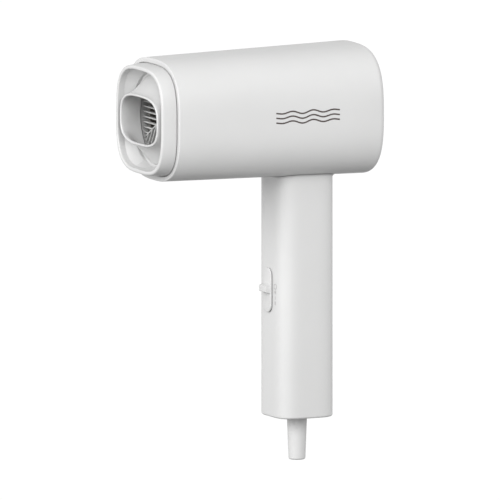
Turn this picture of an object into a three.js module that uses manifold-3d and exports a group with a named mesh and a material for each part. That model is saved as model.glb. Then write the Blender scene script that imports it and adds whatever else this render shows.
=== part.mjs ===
// Compact hair dryer with a slim straight handle and a push-on concentrator nozzle.
//
// Millimetres, +Z up. The barrel lies along Y with its air outlet towards -Y, and the handle hangs
// straight down. Pieces are laid out from the point where the barrel's axis crosses the handle's, and
// the whole dryer is then lifted so that the origin is in the middle of the grip.

import * as THREE from 'three';
import { mergeVertices } from 'three/addons/utils/BufferGeometryUtils.js';
import Module from 'manifold-3d';

const wasm = await Module();
wasm.setup();

// ---------------------------------------------------------------- driving dimensions

const GAP = 0.3;                    // clearance between neighbouring pieces
const GRIP_DEPTH = 112;             // middle of the grip below the barrel's axis

const BARREL_FRONT = -95.8;         // plane of the barrel's front face
const BARREL_HALF = 38.5;           // half width of the barrel above the handle
const BARREL_TAPER = 0.018;         // growth of that half width for each millimetre towards the rear
const BARREL_SQUARE = 2.9;          // squareness of the barrel's outline, where 2 is a circle
const BARREL_WALL = 2.3;
const BARREL_REAR = 40.5;           // plane where the rear edge's rounding ends
const REAR_ROUND = 4;
const REAR_BULGE = 3;               // height of the domed rear face
const REAR_OPENING = 28.2;          // half width of the air intake

const FRONT_OPENING = 33.6;         // half width of the barrel's front opening, as square as the nozzle
const FRONT_FLANGE = 2.2;           // thickness of the flat ring round that opening
const BEZEL_HALF = 34.2;            // half width of the bezel inside the barrel
const SOCKET_RADIUS = 30.8;         // bore of the bezel, which takes the nozzle
const GRILLE_FRONT = -90.3;
const GRILLE_DEPTH = 4;
const GRILLE_RADIUS = 30.5;
const GRILLE_INNER = 27.8;
const RIB_PITCH = 3.15;
const RIB_WIDTH = 0.85;

const NOZZLE_FRONT = -105.2;
const NOZZLE_HALF = 32.4;           // half width of the nozzle's collar at its lip
const NOZZLE_SQUARE = 3.3;
const NOZZLE_BACK = -91;
const NOZZLE_FLARE = 0.9;           // growth of the collar's half width from its lip to its back edge
const NOZZLE_LIP = 2.3;
const PLUG_OUTER = 29;              // radii of the round plug at the back of the collar
const PLUG_INNER = 27.6;
const SNAP_RING_INNER = 29.3;
const THROAT_WIDE = 26.1;           // half width and half height of the flattened outlet
const THROAT_HIGH = 15.4;
const THROAT_SQUARE = 3.1;
const THROAT_WALL = 1.5;
const THROAT_BACK = -92;

const DUCT_RADIUS = 28;
const SHROUD_RADIUS = 29.6;
const FAN_RADIUS = 27.7;
const MOTOR_RADIUS = 12;
const SHAFT_RADIUS = 1;

const HANDLE_HALF = 18.66;          // half width of the handle
const HANDLE_SQUARE = 4;
const HANDLE_WALL = 2.2;
const HANDLE_BOTTOM = -184.6;
const RELIEF_TIP = -211.3;
const RELIEF_ROOT_RADIUS = 6.1;
const RELIEF_TIP_RADIUS = 5.1;
const CORD_BORE_RADIUS = 3.4;

const KNOB_MIDDLE = -107.6;         // height of the switch knob's middle in its off position
const KNOB_LENGTH = 27;
const KNOB_WIDTH = 10;
const KNOB_TRAVEL = 10;

const SCREW_RADIUS = 1.5;
const SCREW_HEAD_RADIUS = 2.9;

const SHELL_SIDES = 36;
const ROUND_SIDES = 28;
const SMALL_SIDES = 12;
const WIRE_SIDES = 5;

// ---------------------------------------------------------------- finishes

const finish = (color, roughness, metalness = 0) =>
  new THREE.MeshStandardMaterial({ color, roughness, metalness });

const shellWhite = () => finish(0xe9e9e8, 0.42);
const grillePlastic = () => finish(0xb9b9b8, 0.55);
const darkPlastic = () => finish(0x2b2c2e, 0.6);
const innerNylon = () => finish(0xd8d6cf, 0.65);
const mica = () => finish(0xcdbf9a, 0.8);
const steel = () => finish(0xb4b7ba, 0.35, 1);
const softRubber = () => finish(0xdedede, 0.75);

// ---------------------------------------------------------------- shaping helpers

/** Welds a geometry's shared vertices and drops the slivers that a closed pole leaves. */
function welded(geometry) {
  const bare = geometry.clone();
  bare.deleteAttribute('normal');
  bare.deleteAttribute('uv');
  const merged = mergeVertices(bare, 1e-4);
  const corners = merged.index.array;
  const kept = [];
  for (let i = 0; i < corners.length; i += 3) {
    const [a, b, c] = corners.slice(i, i + 3);
    if (a !== b && b !== c && c !== a) kept.push(a, b, c);
  }
  merged.setIndex(kept);
  return merged;
}

function toSolid(geometry) {
  const closed = welded(geometry);
  return new wasm.Manifold(new wasm.Mesh({
    numProp: 3,
    vertProperties: new Float32Array(closed.attributes.position.array),
    triVerts: new Uint32Array(closed.index.array),
  }));
}

function toGeometry(solid) {
  const mesh = solid.getMesh();
  const geometry = new THREE.BufferGeometry();
  geometry.setAttribute('position', new THREE.BufferAttribute(mesh.vertProperties, 3));
  geometry.setIndex(new THREE.BufferAttribute(mesh.triVerts, 1));
  return geometry;
}

const joined = (first, ...others) =>
  toGeometry(others.reduce((sum, other) => sum.add(toSolid(other)), toSolid(first)));

const cut = (body, ...tools) =>
  toGeometry(tools.reduce((rest, tool) => rest.subtract(toSolid(tool)), toSolid(body)));

const common = (first, second) => toGeometry(toSolid(first).intersect(toSolid(second)));

/** One stop of an outline: its half width, its place along the axis, its squareness and half height. */
const stop = (wide, along, square = 2, high = wide) => ({ wide, along, square, high });

/** Turns a closed loop of stops about Y, and gives each stop its own squared-off outline. */
function turned(stops, sides = ROUND_SIDES) {
  const loop = [...stops, stops[0]];
  const outline = loop.map(({ wide, along }) => new THREE.Vector2(wide, along));
  if (THREE.ShapeUtils.area(outline) < 0) {
    loop.reverse();
    outline.reverse();
  }
  const geometry = new THREE.LatheGeometry(outline, sides);
  const place = geometry.attributes.position;
  for (let i = 0; i < place.count; i += 1) {
    const { wide, high, square } = loop[i % loop.length];
    const angle = (2 * Math.PI * Math.floor(i / loop.length)) / sides;
    const across = Math.sin(angle);
    const up = Math.cos(angle);
    const reach = (Math.abs(across) ** square + Math.abs(up) ** square) ** (-1 / square);
    place.setXYZ(i, wide * across * reach, place.getY(i), high * up * reach);
  }
  return geometry;
}

/** The same, about Z, for the pieces of the handle. */
const turnedUpright = (stops, sides) => turned(stops, sides).rotateX(Math.PI / 2);

/** Stops round a quarter arc, from one angle to another, about a centre in (half width, along). */
function arcStops(wide, along, radius, from, to, square, steps = 3) {
  return Array.from({ length: steps + 1 }, (_, i) => {
    const angle = from + ((to - from) * i) / steps;
    return stop(wide + radius * Math.cos(angle), along + radius * Math.sin(angle), square);
  });
}

/** A block given by its lowest and highest corners. */
function block([x0, y0, z0], [x1, y1, z1]) {
  const size = [x1 - x0, y1 - y0, z1 - z0];
  return new THREE.BoxGeometry(...size).translate((x0 + x1) / 2, (y0 + y1) / 2, (z0 + z1) / 2);
}

/** A plain rod along Z between two heights. */
const rod = (radius, from, to, x = 0, y = 0, sides = SMALL_SIDES) =>
  turnedUpright([stop(0, from), stop(radius, from), stop(radius, to), stop(0, to)], sides)
    .translate(x, y, 0);

/** A plain rod along Y between two places. */
const axialRod = (radius, from, to, x = 0, z = 0, sides = SMALL_SIDES) =>
  turned([stop(0, from), stop(radius, from), stop(radius, to), stop(0, to)], sides)
    .translate(x, 0, z);

/** A tube along Y between two places. */
const axialTube = (inner, outer, from, to, square = 2, sides = ROUND_SIDES) =>
  turned([
    stop(inner, from, square), stop(outer, from, square),
    stop(outer, to, square), stop(inner, to, square),
  ], sides);

/** A round wire along a curve. */
function wire(curve, radius, steps) {
  const section = new THREE.Shape(
    new THREE.EllipseCurve(0, 0, radius, radius).getPoints(WIRE_SIDES).slice(0, WIRE_SIDES),
  );
  return new THREE.ExtrudeGeometry(section, { steps, extrudePath: curve, bevelEnabled: false });
}

/** A pan-head screw along Z: the head's underside is at `seat`, and the shank goes down from it. */
function screwGeometry(seat, length, radius = SCREW_RADIUS, headRadius = SCREW_HEAD_RADIUS) {
  const headHeight = 1.6;
  return turnedUpright([
    stop(0, seat - length), stop(radius * 0.5, seat - length), stop(radius, seat - length + 1.5),
    stop(radius, seat), stop(headRadius, seat), stop(headRadius * 0.85, seat + headHeight),
    stop(0, seat + headHeight),
  ], SMALL_SIDES);
}

// ---------------------------------------------------------------- barrel

const barrelHalf = (along) => BARREL_HALF + BARREL_TAPER * along;

/** Place of the domed rear face at a given half width. */
function rearFace(half) {
  const rim = barrelHalf(BARREL_REAR - REAR_ROUND) - REAR_ROUND;
  return BARREL_REAR + REAR_BULGE * (1 - Math.min(half / rim, 1) ** 2);
}

const NECK_HOLE_RADIUS = 9;
const NECK_SCREW_X = 12.3;
const NECK_PLATE_LOW = -34.6;        // plate inside the barrel that the neck screws pull down on
const NECK_PLATE_TOP = -33;

/** The one-piece outer sleeve, open at both ends, with holes for the leads and the neck screws. */
function barrelHousing() {
  const sq = BARREL_SQUARE;
  const front = BARREL_FRONT;
  const edge = 1;
  const rearStart = BARREL_REAR - REAR_ROUND;
  const rimHalf = barrelHalf(rearStart) - REAR_ROUND;
  const inner = (along) => barrelHalf(along) - BARREL_WALL;
  const flangeBack = front + FRONT_FLANGE;
  const sleeve = turned([
    stop(FRONT_OPENING, front, NOZZLE_SQUARE),
    ...arcStops(barrelHalf(front) - edge, front + edge, edge, -Math.PI / 2, 0, sq, 2),
    stop(barrelHalf(-40), -40, sq),
    ...arcStops(rimHalf, rearStart, REAR_ROUND, 0, Math.PI / 2, sq, 4),
    stop(REAR_OPENING, rearFace(REAR_OPENING), sq),
    stop(REAR_OPENING, rearFace(REAR_OPENING) - BARREL_WALL, sq),
    ...arcStops(rimHalf, rearStart, REAR_ROUND - BARREL_WALL, Math.PI / 2, 0, sq, 3),
    stop(inner(flangeBack), flangeBack, sq),
    stop(FRONT_OPENING, flangeBack, NOZZLE_SQUARE),
  ], SHELL_SIDES);
  const holes = [-NECK_SCREW_X, NECK_SCREW_X].map((x) => rod(SCREW_RADIUS + GAP, -42, -30, x));
  return cut(sleeve, rod(NECK_HOLE_RADIUS, -42, -30, 0, 0, 20), ...holes);
}

/** Ring behind the barrel's front flange: its bore takes the nozzle and the outlet grille. */
function frontBezel() {
  const front = BARREL_FRONT + GAP;
  const behind = BARREL_FRONT + FRONT_FLANGE + GAP;
  const back = GRILLE_FRONT + GRILLE_DEPTH + 2.3;
  const lipFront = back - 2;
  return turned([
    stop(SOCKET_RADIUS, front), stop(FRONT_OPENING - GAP, front, NOZZLE_SQUARE),
    stop(FRONT_OPENING - GAP, behind, NOZZLE_SQUARE), stop(BEZEL_HALF, behind, BARREL_SQUARE),
    stop(BEZEL_HALF, back, BARREL_SQUARE), stop(DUCT_RADIUS + GAP, back),
    stop(DUCT_RADIUS + GAP, lipFront), stop(SOCKET_RADIUS, lipFront),
  ], SHELL_SIDES);
}

/** Outlet grille: a rim, six spokes, and straight ribs that fan out from the spokes in six sectors. */
function outletGrille() {
  const ribFront = GRILLE_FRONT + 0.4;
  const ribBack = GRILLE_FRONT + 3;
  const rim = axialTube(GRILLE_INNER, GRILLE_RADIUS, GRILLE_FRONT, GRILLE_FRONT + GRILLE_DEPTH);
  const reach = GRILLE_INNER + 1;
  const bars = [];
  for (let sector = 0; sector < 6; sector += 1) {
    const turn = (sector * Math.PI) / 3;
    const half = RIB_WIDTH / 2;
    bars.push(block([0, ribFront, -half], [reach, ribBack, half]).rotateY(turn + Math.PI / 6));
    for (let row = -3.5; row <= 3.5; row += 1) {
      const offset = row * RIB_PITCH;
      const start = Math.abs(offset) / Math.tan(Math.PI / 6);
      bars.push(
        block([start, ribFront, offset - half], [reach, ribBack, offset + half]).rotateY(turn),
      );
    }
  }
  const disc = axialRod(GRILLE_RADIUS - 1, GRILLE_FRONT, GRILLE_FRONT + GRILLE_DEPTH, 0, 0, ROUND_SIDES);
  const [firstBar, ...otherBars] = bars;
  return joined(common(joined(firstBar, ...otherBars), disc), rim);
}

// ---------------------------------------------------------------- nozzle

/** Snap ring that grips the bezel's bore; the nozzle turns on it and comes off with it. */
const nozzleRing = () =>
  axialTube(SNAP_RING_INNER, SOCKET_RADIUS - GAP, BARREL_FRONT + 0.8, NOZZLE_BACK);

/** Outer collar: a squared skirt, a rounded lip, and a bowl that narrows to a round plug. */
function nozzleCollar() {
  const sq = NOZZLE_SQUARE;
  const back = BARREL_FRONT - GAP;
  const band = NOZZLE_HALF - NOZZLE_LIP;
  return turned([
    stop(band + 0.5, NOZZLE_FRONT, sq),
    stop(NOZZLE_HALF - 0.8, NOZZLE_FRONT, sq),
    stop(NOZZLE_HALF, NOZZLE_FRONT + 0.8, sq),
    stop(NOZZLE_HALF + NOZZLE_FLARE, back, sq),
    stop(NOZZLE_HALF - 0.8, back, sq),
    stop(NOZZLE_HALF - 1.4, NOZZLE_FRONT + 2.8, sq),
    stop(PLUG_OUTER, back),
    stop(PLUG_OUTER, NOZZLE_BACK),
    stop(PLUG_INNER, NOZZLE_BACK),
    stop(PLUG_INNER + 0.1, NOZZLE_BACK - 3.5, 2.1),
    stop(PLUG_INNER + 0.9, NOZZLE_BACK - 7, 2.5),
    stop(PLUG_INNER + 1.9, NOZZLE_BACK - 10, 3),
    stop(band, NOZZLE_FRONT + 2, sq),
    stop(band, NOZZLE_FRONT + 0.5, sq),
  ], SHELL_SIDES);
}

/** Flattened inner outlet, which opens out to the round plug in a smooth S. */
function nozzleThroat() {
  const roundHalf = PLUG_INNER - GAP;
  const steps = 6;
  const wall = (inset, from, to) => Array.from({ length: steps + 1 }, (_, i) => {
    const t = i / steps;
    const ease = t * t * (3 - 2 * t);
    return stop(
      THREE.MathUtils.lerp(THROAT_WIDE, roundHalf, ease) - inset,
      THREE.MathUtils.lerp(from, to, t),
      THREE.MathUtils.lerp(THROAT_SQUARE, 2, ease),
      THREE.MathUtils.lerp(THROAT_HIGH, roundHalf, ease) - inset,
    );
  });
  const edge = 0.5;
  const lip = stop(THROAT_WIDE - edge, NOZZLE_FRONT, THROAT_SQUARE, THROAT_HIGH - edge);
  const mouth = stop(
    THROAT_WIDE - THROAT_WALL + edge, NOZZLE_FRONT, THROAT_SQUARE, THROAT_HIGH - THROAT_WALL + edge,
  );
  return turned([
    mouth, lip,
    ...wall(0, NOZZLE_FRONT + edge, THROAT_BACK),
    ...wall(THROAT_WALL, NOZZLE_FRONT + edge, THROAT_BACK).reverse(),
  ], SHELL_SIDES);
}

// ---------------------------------------------------------------- heater

const HEATER_FRONT = -82;
const HEATER_BACK = -38;
const BOARD_HALF = 21.4;            // half width of a board where the coils are wound round it
const BOARD_TAB = 25.7;             // half width of its end tabs, which touch the sleeve

/** Plastic air duct, with a slot underneath for the leads. */
const heaterDuct = () => cut(
  axialTube(DUCT_RADIUS - 1.1, DUCT_RADIUS, GRILLE_FRONT + GRILLE_DEPTH + GAP, -20),
  block([-5, -34, -30], [5, -26, -25]),
);

const micaSleeve = () => axialTube(26, 26.6, -85, -36);

/** One mica cross board in the XY plane, half-lapped at its front or at its back. */
function heaterBoard(slotFront) {
  const middle = (HEATER_FRONT + HEATER_BACK) / 2;
  const tab = 4;
  const slot = 0.5 + GAP;
  const slotEnd = slotFront ? HEATER_FRONT : HEATER_BACK;
  const inward = slotFront ? 1 : -1;
  const profile = [[BOARD_TAB, HEATER_FRONT], [BOARD_TAB, HEATER_FRONT + tab],
    [BOARD_HALF, HEATER_FRONT + tab], [BOARD_HALF, HEATER_BACK - tab],
    [BOARD_TAB, HEATER_BACK - tab], [BOARD_TAB, HEATER_BACK]];
  const outline = new THREE.Shape([
    ...profile.map(([x, y]) => new THREE.Vector2(x, y)),
    ...profile.reverse().map(([x, y]) => new THREE.Vector2(-x, y)),
  ]);
  const plate = new THREE.ExtrudeGeometry(outline, { depth: 1, bevelEnabled: false })
    .translate(0, 0, -0.5);
  const slotLow = Math.min(slotEnd - inward, middle + inward * GAP);
  const slotHigh = Math.max(slotEnd - inward, middle + inward * GAP);
  return cut(plate, block([-slot, slotLow, -2], [slot, slotHigh, 2]));
}

/** A heating coil's helix about Y. */
class Helix extends THREE.Curve {
  constructor(radius, from, to, turns) {
    super();
    Object.assign(this, { radius, from, to, turns });
  }

  getPoint(t, target = new THREE.Vector3()) {
    const angle = 2 * Math.PI * this.turns * t;
    const along = THREE.MathUtils.lerp(this.from, this.to, t);
    return target.set(this.radius * Math.cos(angle), along, this.radius * Math.sin(angle));
  }
}

const heaterCoil = (from, to) => wire(new Helix(23.8, from, to, 4), 1, 44);

const thermostat = () => block([0.8, -70, 3], [5.8, -58, 13]);
const thermalFuse = () => axialRod(1.7, -68, -56, -2.6, 9);

// ---------------------------------------------------------------- motor and fan

const SHROUD_FRONT = -22;
const SHROUD_BACK = 34;

/** Fan shroud with its mounting flange, seven guide vanes and the cup that holds the motor. */
function fanShroud() {
  const inner = SHROUD_RADIUS - 1.3;
  const flangeHalf = barrelHalf(28) - BARREL_WALL - 0.6;
  const shroud = turned([
    stop(inner, SHROUD_FRONT), stop(SHROUD_RADIUS, SHROUD_FRONT), stop(SHROUD_RADIUS, 27),
    stop(flangeHalf, 27, BARREL_SQUARE), stop(flangeHalf, 29, BARREL_SQUARE),
    stop(SHROUD_RADIUS, 29), stop(SHROUD_RADIUS + 1, SHROUD_BACK), stop(inner + 1, SHROUD_BACK),
    stop(inner, 29),
  ]);
  const cup = axialTube(14.3, 15.8, -14, 4);
  const vanes = Array.from({ length: 7 }, (_, i) =>
    block([-0.7, -12, 15], [0.7, -1, inner + 0.6]).rotateY((i * 2 * Math.PI) / 7));
  return joined(shroud, cup, ...vanes);
}

/** Motor can with a bearing boss and a bore for the shaft. */
const motorBody = () => turned([
  stop(0, -20), stop(MOTOR_RADIUS - 0.8, -20), stop(MOTOR_RADIUS, -19.2), stop(MOTOR_RADIUS, 7.2),
  stop(MOTOR_RADIUS - 0.8, 8), stop(4, 8), stop(4, 9.6), stop(SHAFT_RADIUS + GAP, 9.6),
  stop(SHAFT_RADIUS + GAP, -16), stop(0, -16),
], 20);

const motorDamper = () => axialTube(MOTOR_RADIUS + GAP, 14, -10, 0, 2, 20);
const motorShaft = () => axialRod(SHAFT_RADIUS, -16 + GAP, 20 - GAP);

/** Round board with the rectifier, on the motor's terminals. */
const rectifierBoard = () => axialRod(10, -21.8, -20 - GAP, 0, 0, 20);

/** One fan blade: a plate that stands out along Z and twists from its root to its tip. */
function fanBlade() {
  const root = 7;
  const span = FAN_RADIUS + 2 - root;
  const blade = new THREE.BoxGeometry(12, 1.4, span, 2, 1, 3).translate(0, 0, root + span / 2);
  const place = blade.attributes.position;
  for (let i = 0; i < place.count; i += 1) {
    const outward = (place.getZ(i) - root) / span;
    const twist = THREE.MathUtils.lerp(0.85, 0.45, outward);
    const [x, y] = [place.getX(i), place.getY(i) + 0.02 * (place.getX(i) ** 2 - 12)];
    place.setXY(i, x * Math.cos(twist) - y * Math.sin(twist), x * Math.sin(twist) + y * Math.cos(twist));
  }
  return blade.translate(0, 16.5, 0);
}

/** Axial fan: a hub pressed on the shaft, with eight blades trimmed to the tip radius. */
function fanImpeller() {
  const hub = turned([
    stop(SHAFT_RADIUS + GAP, 11), stop(9, 11), stop(9, 20), stop(7.5, 22.4), stop(4, 24),
    stop(0, 24.6), stop(0, 20), stop(SHAFT_RADIUS + GAP, 20),
  ], 24);
  const blades = Array.from({ length: 8 }, (_, i) => fanBlade().rotateY((i * Math.PI) / 4));
  const sweep = axialRod(FAN_RADIUS, 10.4, 26, 0, 0, ROUND_SIDES);
  const bore = axialRod(SHAFT_RADIUS + GAP, 5, 20);
  return cut(common(joined(hub, ...blades), sweep), bore);
}

// ---------------------------------------------------------------- rear cover

const HOLE_RINGS = 4;
const HOLE_PITCH = 4.9;
const HOLE_RADIUS = 1.5;

/** Domed intake cover with rings of holes and a snap skirt. */
function rearGrille() {
  const sq = BARREL_SQUARE;
  const half = REAR_OPENING - GAP;
  const thick = 2;
  const dome = [0, 22].map((wide) => stop(wide, rearFace(wide), sq));
  const underside = [0, 22].map((wide) => stop(wide, rearFace(wide) - thick, sq));
  const plate = turned([
    ...dome, stop(half - 0.6, rearFace(half), sq), stop(half, rearFace(half) - 0.5, sq),
    stop(half, 36, sq), stop(half - 1.6, 36, sq), stop(half - 1.6, rearFace(half) - thick, sq),
    ...underside.reverse(),
  ], SHELL_SIDES);
  const holes = [axialRod(HOLE_RADIUS, 38, 48, 0, 0, 6)];
  for (let ring = 1; ring <= HOLE_RINGS; ring += 1) {
    for (let i = 0; i < 6 * ring; i += 1) {
      const angle = (i * Math.PI) / (3 * ring);
      const out = ring * HOLE_PITCH;
      holes.push(axialRod(HOLE_RADIUS, 38, 48, out * Math.cos(angle), out * Math.sin(angle), 6));
    }
  }
  return cut(plate, ...holes);
}

const intakeFilter = () => turned([
  stop(0, 38.2), stop(26, 38.2, BARREL_SQUARE), stop(26, 38.9, BARREL_SQUARE), stop(0, 38.9),
], SHELL_SIDES);

// ---------------------------------------------------------------- handle

const FRAME_HALF = HANDLE_HALF - HANDLE_WALL - 0.36;
const CAP_SCREW_X = 11.5;
const CAP_TOP = HANDLE_BOTTOM + 3.3;
const CLAMP_LOW = -168;
const CLAMP_HIGH = -161;
const CLAMP_SCREW_X = 9;
const STEM_HALF_HEIGHT = 2.5;

/** Outline of the barrel as a solid, grown by a gap, to trim the handle's top end to a saddle. */
const barrelEnvelope = () => turned([
  stop(0, -60, BARREL_SQUARE), stop(barrelHalf(-60) + GAP, -60, BARREL_SQUARE),
  stop(barrelHalf(40) + GAP, 40, BARREL_SQUARE), stop(0, 40, BARREL_SQUARE),
], SHELL_SIDES);

/** Handle tube with a saddle top, a rounded bottom edge and the slot for the switch's stem. */
function handleHousing() {
  const sq = HANDLE_SQUARE;
  const edge = 1.5;
  const bore = HANDLE_HALF - HANDLE_WALL;
  const tube = turnedUpright([
    stop(bore, -30, sq), stop(bore, HANDLE_BOTTOM, sq),
    ...arcStops(HANDLE_HALF - edge, HANDLE_BOTTOM + edge, edge, -Math.PI / 2, 0, sq, 2),
    stop(HANDLE_HALF, -30, sq),
  ], SHELL_SIDES);
  const slotHigh = KNOB_MIDDLE + STEM_HALF_HEIGHT + GAP;
  const slotLow = KNOB_MIDDLE - STEM_HALF_HEIGHT - KNOB_TRAVEL - GAP;
  return cut(tube, barrelEnvelope(), block([-2.3, -22, slotLow], [2.3, -14, slotHigh]));
}

/** Plate inside the barrel: its screws pull the handle's frame up against the barrel. */
const neckClamp = () => cut(
  block([-15.2, -11, NECK_PLATE_LOW], [15.2, 11, NECK_PLATE_TOP]),
  rod(7, -40, -30, 0, 0, 20),
  ...[-NECK_SCREW_X, NECK_SCREW_X].map((x) => rod(SCREW_RADIUS + GAP, -40, -30, x)),
);

/** Inner frame: top plate, spine, switch cradle, cord posts and bottom shelf, with screw bosses. */
function handleFrame() {
  const sq = HANDLE_SQUARE;
  const plate = (low, high) => turnedUpright([
    stop(0, low, sq), stop(FRAME_HALF, low, sq), stop(FRAME_HALF, high, sq), stop(0, high, sq),
  ], SHELL_SIDES);
  const sides = [-1, 1];
  const blank = joined(
    plate(-41.6, -39.4),
    block([-9, 9, -176], [9, 11, -40]),
    plate(-176, -173.5),
    ...sides.map((s) => block(
      [Math.min(6.2 * s, 8.2 * s), -10, -122], [Math.max(6.2 * s, 8.2 * s), 10, -95],
    )),
    ...sides.map((s) => block(
      [Math.min(6.8 * s, 11.2 * s), -3.3, CLAMP_LOW], [Math.max(6.8 * s, 11.2 * s), 10.5, CLAMP_HIGH],
    )),
    ...sides.map((s) => rod(3.2, -52, -40, NECK_SCREW_X * s)),
    ...sides.map((s) => rod(3.2, CAP_TOP + GAP, -174, CAP_SCREW_X * s)),
  );
  return cut(
    blank,
    rod(8, -45, -38, 0, 0, 20),
    rod(5, -178, -170, 0, 0, 16),
    ...sides.map((s) => rod(SCREW_RADIUS + GAP, -51, -38, NECK_SCREW_X * s)),
    ...sides.map((s) => rod(SCREW_RADIUS + GAP, -182, -172, CAP_SCREW_X * s)),
    ...sides.map((s) => axialRod(SCREW_RADIUS, -6, 5, CLAMP_SCREW_X * s, (CLAMP_LOW + CLAMP_HIGH) / 2)),
  );
}

/** Flush bottom cap with a hole for the strain relief and two counterbored screw holes. */
function bottomCap() {
  const sq = HANDLE_SQUARE;
  const low = HANDLE_BOTTOM + GAP;
  const plate = turnedUpright([
    stop(0, low, sq), stop(FRAME_HALF - 0.4, low, sq), stop(FRAME_HALF, low + 0.4, sq),
    stop(FRAME_HALF, CAP_TOP, sq), stop(0, CAP_TOP, sq),
  ], SHELL_SIDES);
  const screwHoles = [-CAP_SCREW_X, CAP_SCREW_X].flatMap((x) => [
    rod(SCREW_RADIUS + GAP, low - 1, CAP_TOP + 1, x),
    rod(SCREW_HEAD_RADIUS + GAP, low - 1, low + 1.9, x),
  ]);
  return cut(plate, rod(RELIEF_ROOT_RADIUS + GAP, low - 1, CAP_TOP + 1, 0, 0, 24), ...screwHoles);
}

/** Tapered sleeve that the cord leaves through, held by its flange above the cap. */
function strainRelief() {
  const flangeLow = CAP_TOP + GAP;
  const bore = CORD_BORE_RADIUS;
  return turnedUpright([
    stop(bore, RELIEF_TIP), stop(RELIEF_TIP_RADIUS - 1.2, RELIEF_TIP),
    stop(RELIEF_TIP_RADIUS - 0.35, RELIEF_TIP + 0.35), stop(RELIEF_TIP_RADIUS, RELIEF_TIP + 1.2),
    stop(RELIEF_ROOT_RADIUS, HANDLE_BOTTOM), stop(RELIEF_ROOT_RADIUS, flangeLow),
    stop(7.9, flangeLow), stop(7.9, flangeLow + 2.2), stop(bore, flangeLow + 2.2),
  ], 24);
}

/** Bar that holds the cord against the frame's posts. */
const cordClamp = () => cut(
  block([-12, -6.6, CLAMP_LOW], [12, -3.6, CLAMP_HIGH]),
  ...[-CLAMP_SCREW_X, CLAMP_SCREW_X].map((x) =>
    axialRod(SCREW_RADIUS, -8, -2, x, (CLAMP_LOW + CLAMP_HIGH) / 2)),
);

/** A clamp screw, laid along Y with its head towards the front. */
const clampScrew = (x) => screwGeometry(6.9, 11, SCREW_RADIUS - GAP, 2.4)
  .rotateX(Math.PI / 2).translate(x, 0, (CLAMP_LOW + CLAMP_HIGH) / 2);

// ---------------------------------------------------------------- switch and wiring

const SWITCH_HALF_WIDTH = 5.6;
const SWITCH_FRONT = -12;
const SWITCH_LOW = -125;
const SWITCH_HIGH = -92;
const ACTUATOR_HALF = 4.5;

const switchBody = () => block(
  [-SWITCH_HALF_WIDTH, SWITCH_FRONT, SWITCH_LOW], [SWITCH_HALF_WIDTH, -2.6, SWITCH_HIGH],
);

/** Block inside the switch that the knob's stem drives. */
const switchActuator = () => cut(
  block(
    [-3.6, -16, KNOB_MIDDLE - ACTUATOR_HALF], [3.6, SWITCH_FRONT - GAP, KNOB_MIDDLE + ACTUATOR_HALF],
  ),
  block(
    [-2.3, -17, KNOB_MIDDLE - STEM_HALF_HEIGHT - GAP],
    [2.3, -14.2, KNOB_MIDDLE + STEM_HALF_HEIGHT + GAP],
  ),
);

/** Slide knob: a stadium plate, a rounded thumb ridge, and a stem through the handle's wall. */
function slideKnob() {
  const face = HANDLE_HALF + 1.2;
  const crest = HANDLE_HALF + 4.5;
  const half = KNOB_WIDTH / 2;
  const straight = KNOB_LENGTH / 2 - half;
  const stadium = new THREE.Shape();
  stadium.absarc(0, straight, half, 0, Math.PI);
  stadium.absarc(0, -straight, half, Math.PI, 2 * Math.PI);
  const seat = HANDLE_HALF + 0.2;
  const plate = new THREE.ExtrudeGeometry(stadium, {
    depth: face - seat, bevelEnabled: false, curveSegments: 10,
  }).rotateX(Math.PI / 2).translate(0, -seat, KNOB_MIDDLE);
  const ridge = new THREE.Shape([
    [-3.4, seat + 0.2], [-3.1, face + 0.3], [-2.4, crest - 0.9], [-1.4, crest],
    [1.4, crest], [2.4, crest - 0.9], [3.1, face + 0.3], [3.4, seat + 0.2],
  ].map(([z, out]) => new THREE.Vector2(z, out)));
  const thumb = new THREE.ExtrudeGeometry(ridge, { depth: KNOB_WIDTH - 0.6, bevelEnabled: false })
    .applyMatrix4(new THREE.Matrix4().set(
      0, 0, 1, -(KNOB_WIDTH - 0.6) / 2,
      0, -1, 0, 0,
      1, 0, 0, KNOB_MIDDLE + 0.9,
      0, 0, 0, 1,
    ));
  const stem = block(
    [-2, -seat - 0.4, KNOB_MIDDLE - STEM_HALF_HEIGHT], [2, -14.5, KNOB_MIDDLE + STEM_HALF_HEIGHT],
  );
  return joined(plate, thumb, stem);
}

const suppressionCapacitor = () => block([-8, 0.5, -150], [8, 8.7, -132]);

const LEAD_X = 2.2;

/** A lead through the given points, with its place across the dryer. */
function lead(x, points, steps) {
  const route = new THREE.CatmullRomCurve3(points.map(([y, z]) => new THREE.Vector3(x, y, z)));
  return wire(route, 0.9, steps);
}

const heaterLead = (x) => lead(x, [
  [-1.8, -100], [1.6, -97], [3, -88], [3, -60], [1, -40], [-5, -32.2], [-15, -31.2], [-26, -30.6],
  [-31, -27], [-34.5, -20], [-37.4, -16],
], 26);

const mainsLead = (x) => lead(x, [[-1, -156], [-3, -150], [-7, -138], [-7, -125.4]], 10);

// ---------------------------------------------------------------- assembly

const dryer = new THREE.Group();

function piece(name, geometry, material) {
  const mesh = new THREE.Mesh(welded(geometry), material);
  mesh.name = name;
  dryer.add(mesh);
}

piece('barrel_housing', barrelHousing(), shellWhite());
piece('front_bezel', frontBezel(), shellWhite());
piece('outlet_grille', outletGrille(), grillePlastic());
piece('nozzle_ring', nozzleRing(), shellWhite());
piece('nozzle_collar', nozzleCollar(), shellWhite());
piece('nozzle_throat', nozzleThroat(), shellWhite());

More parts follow.
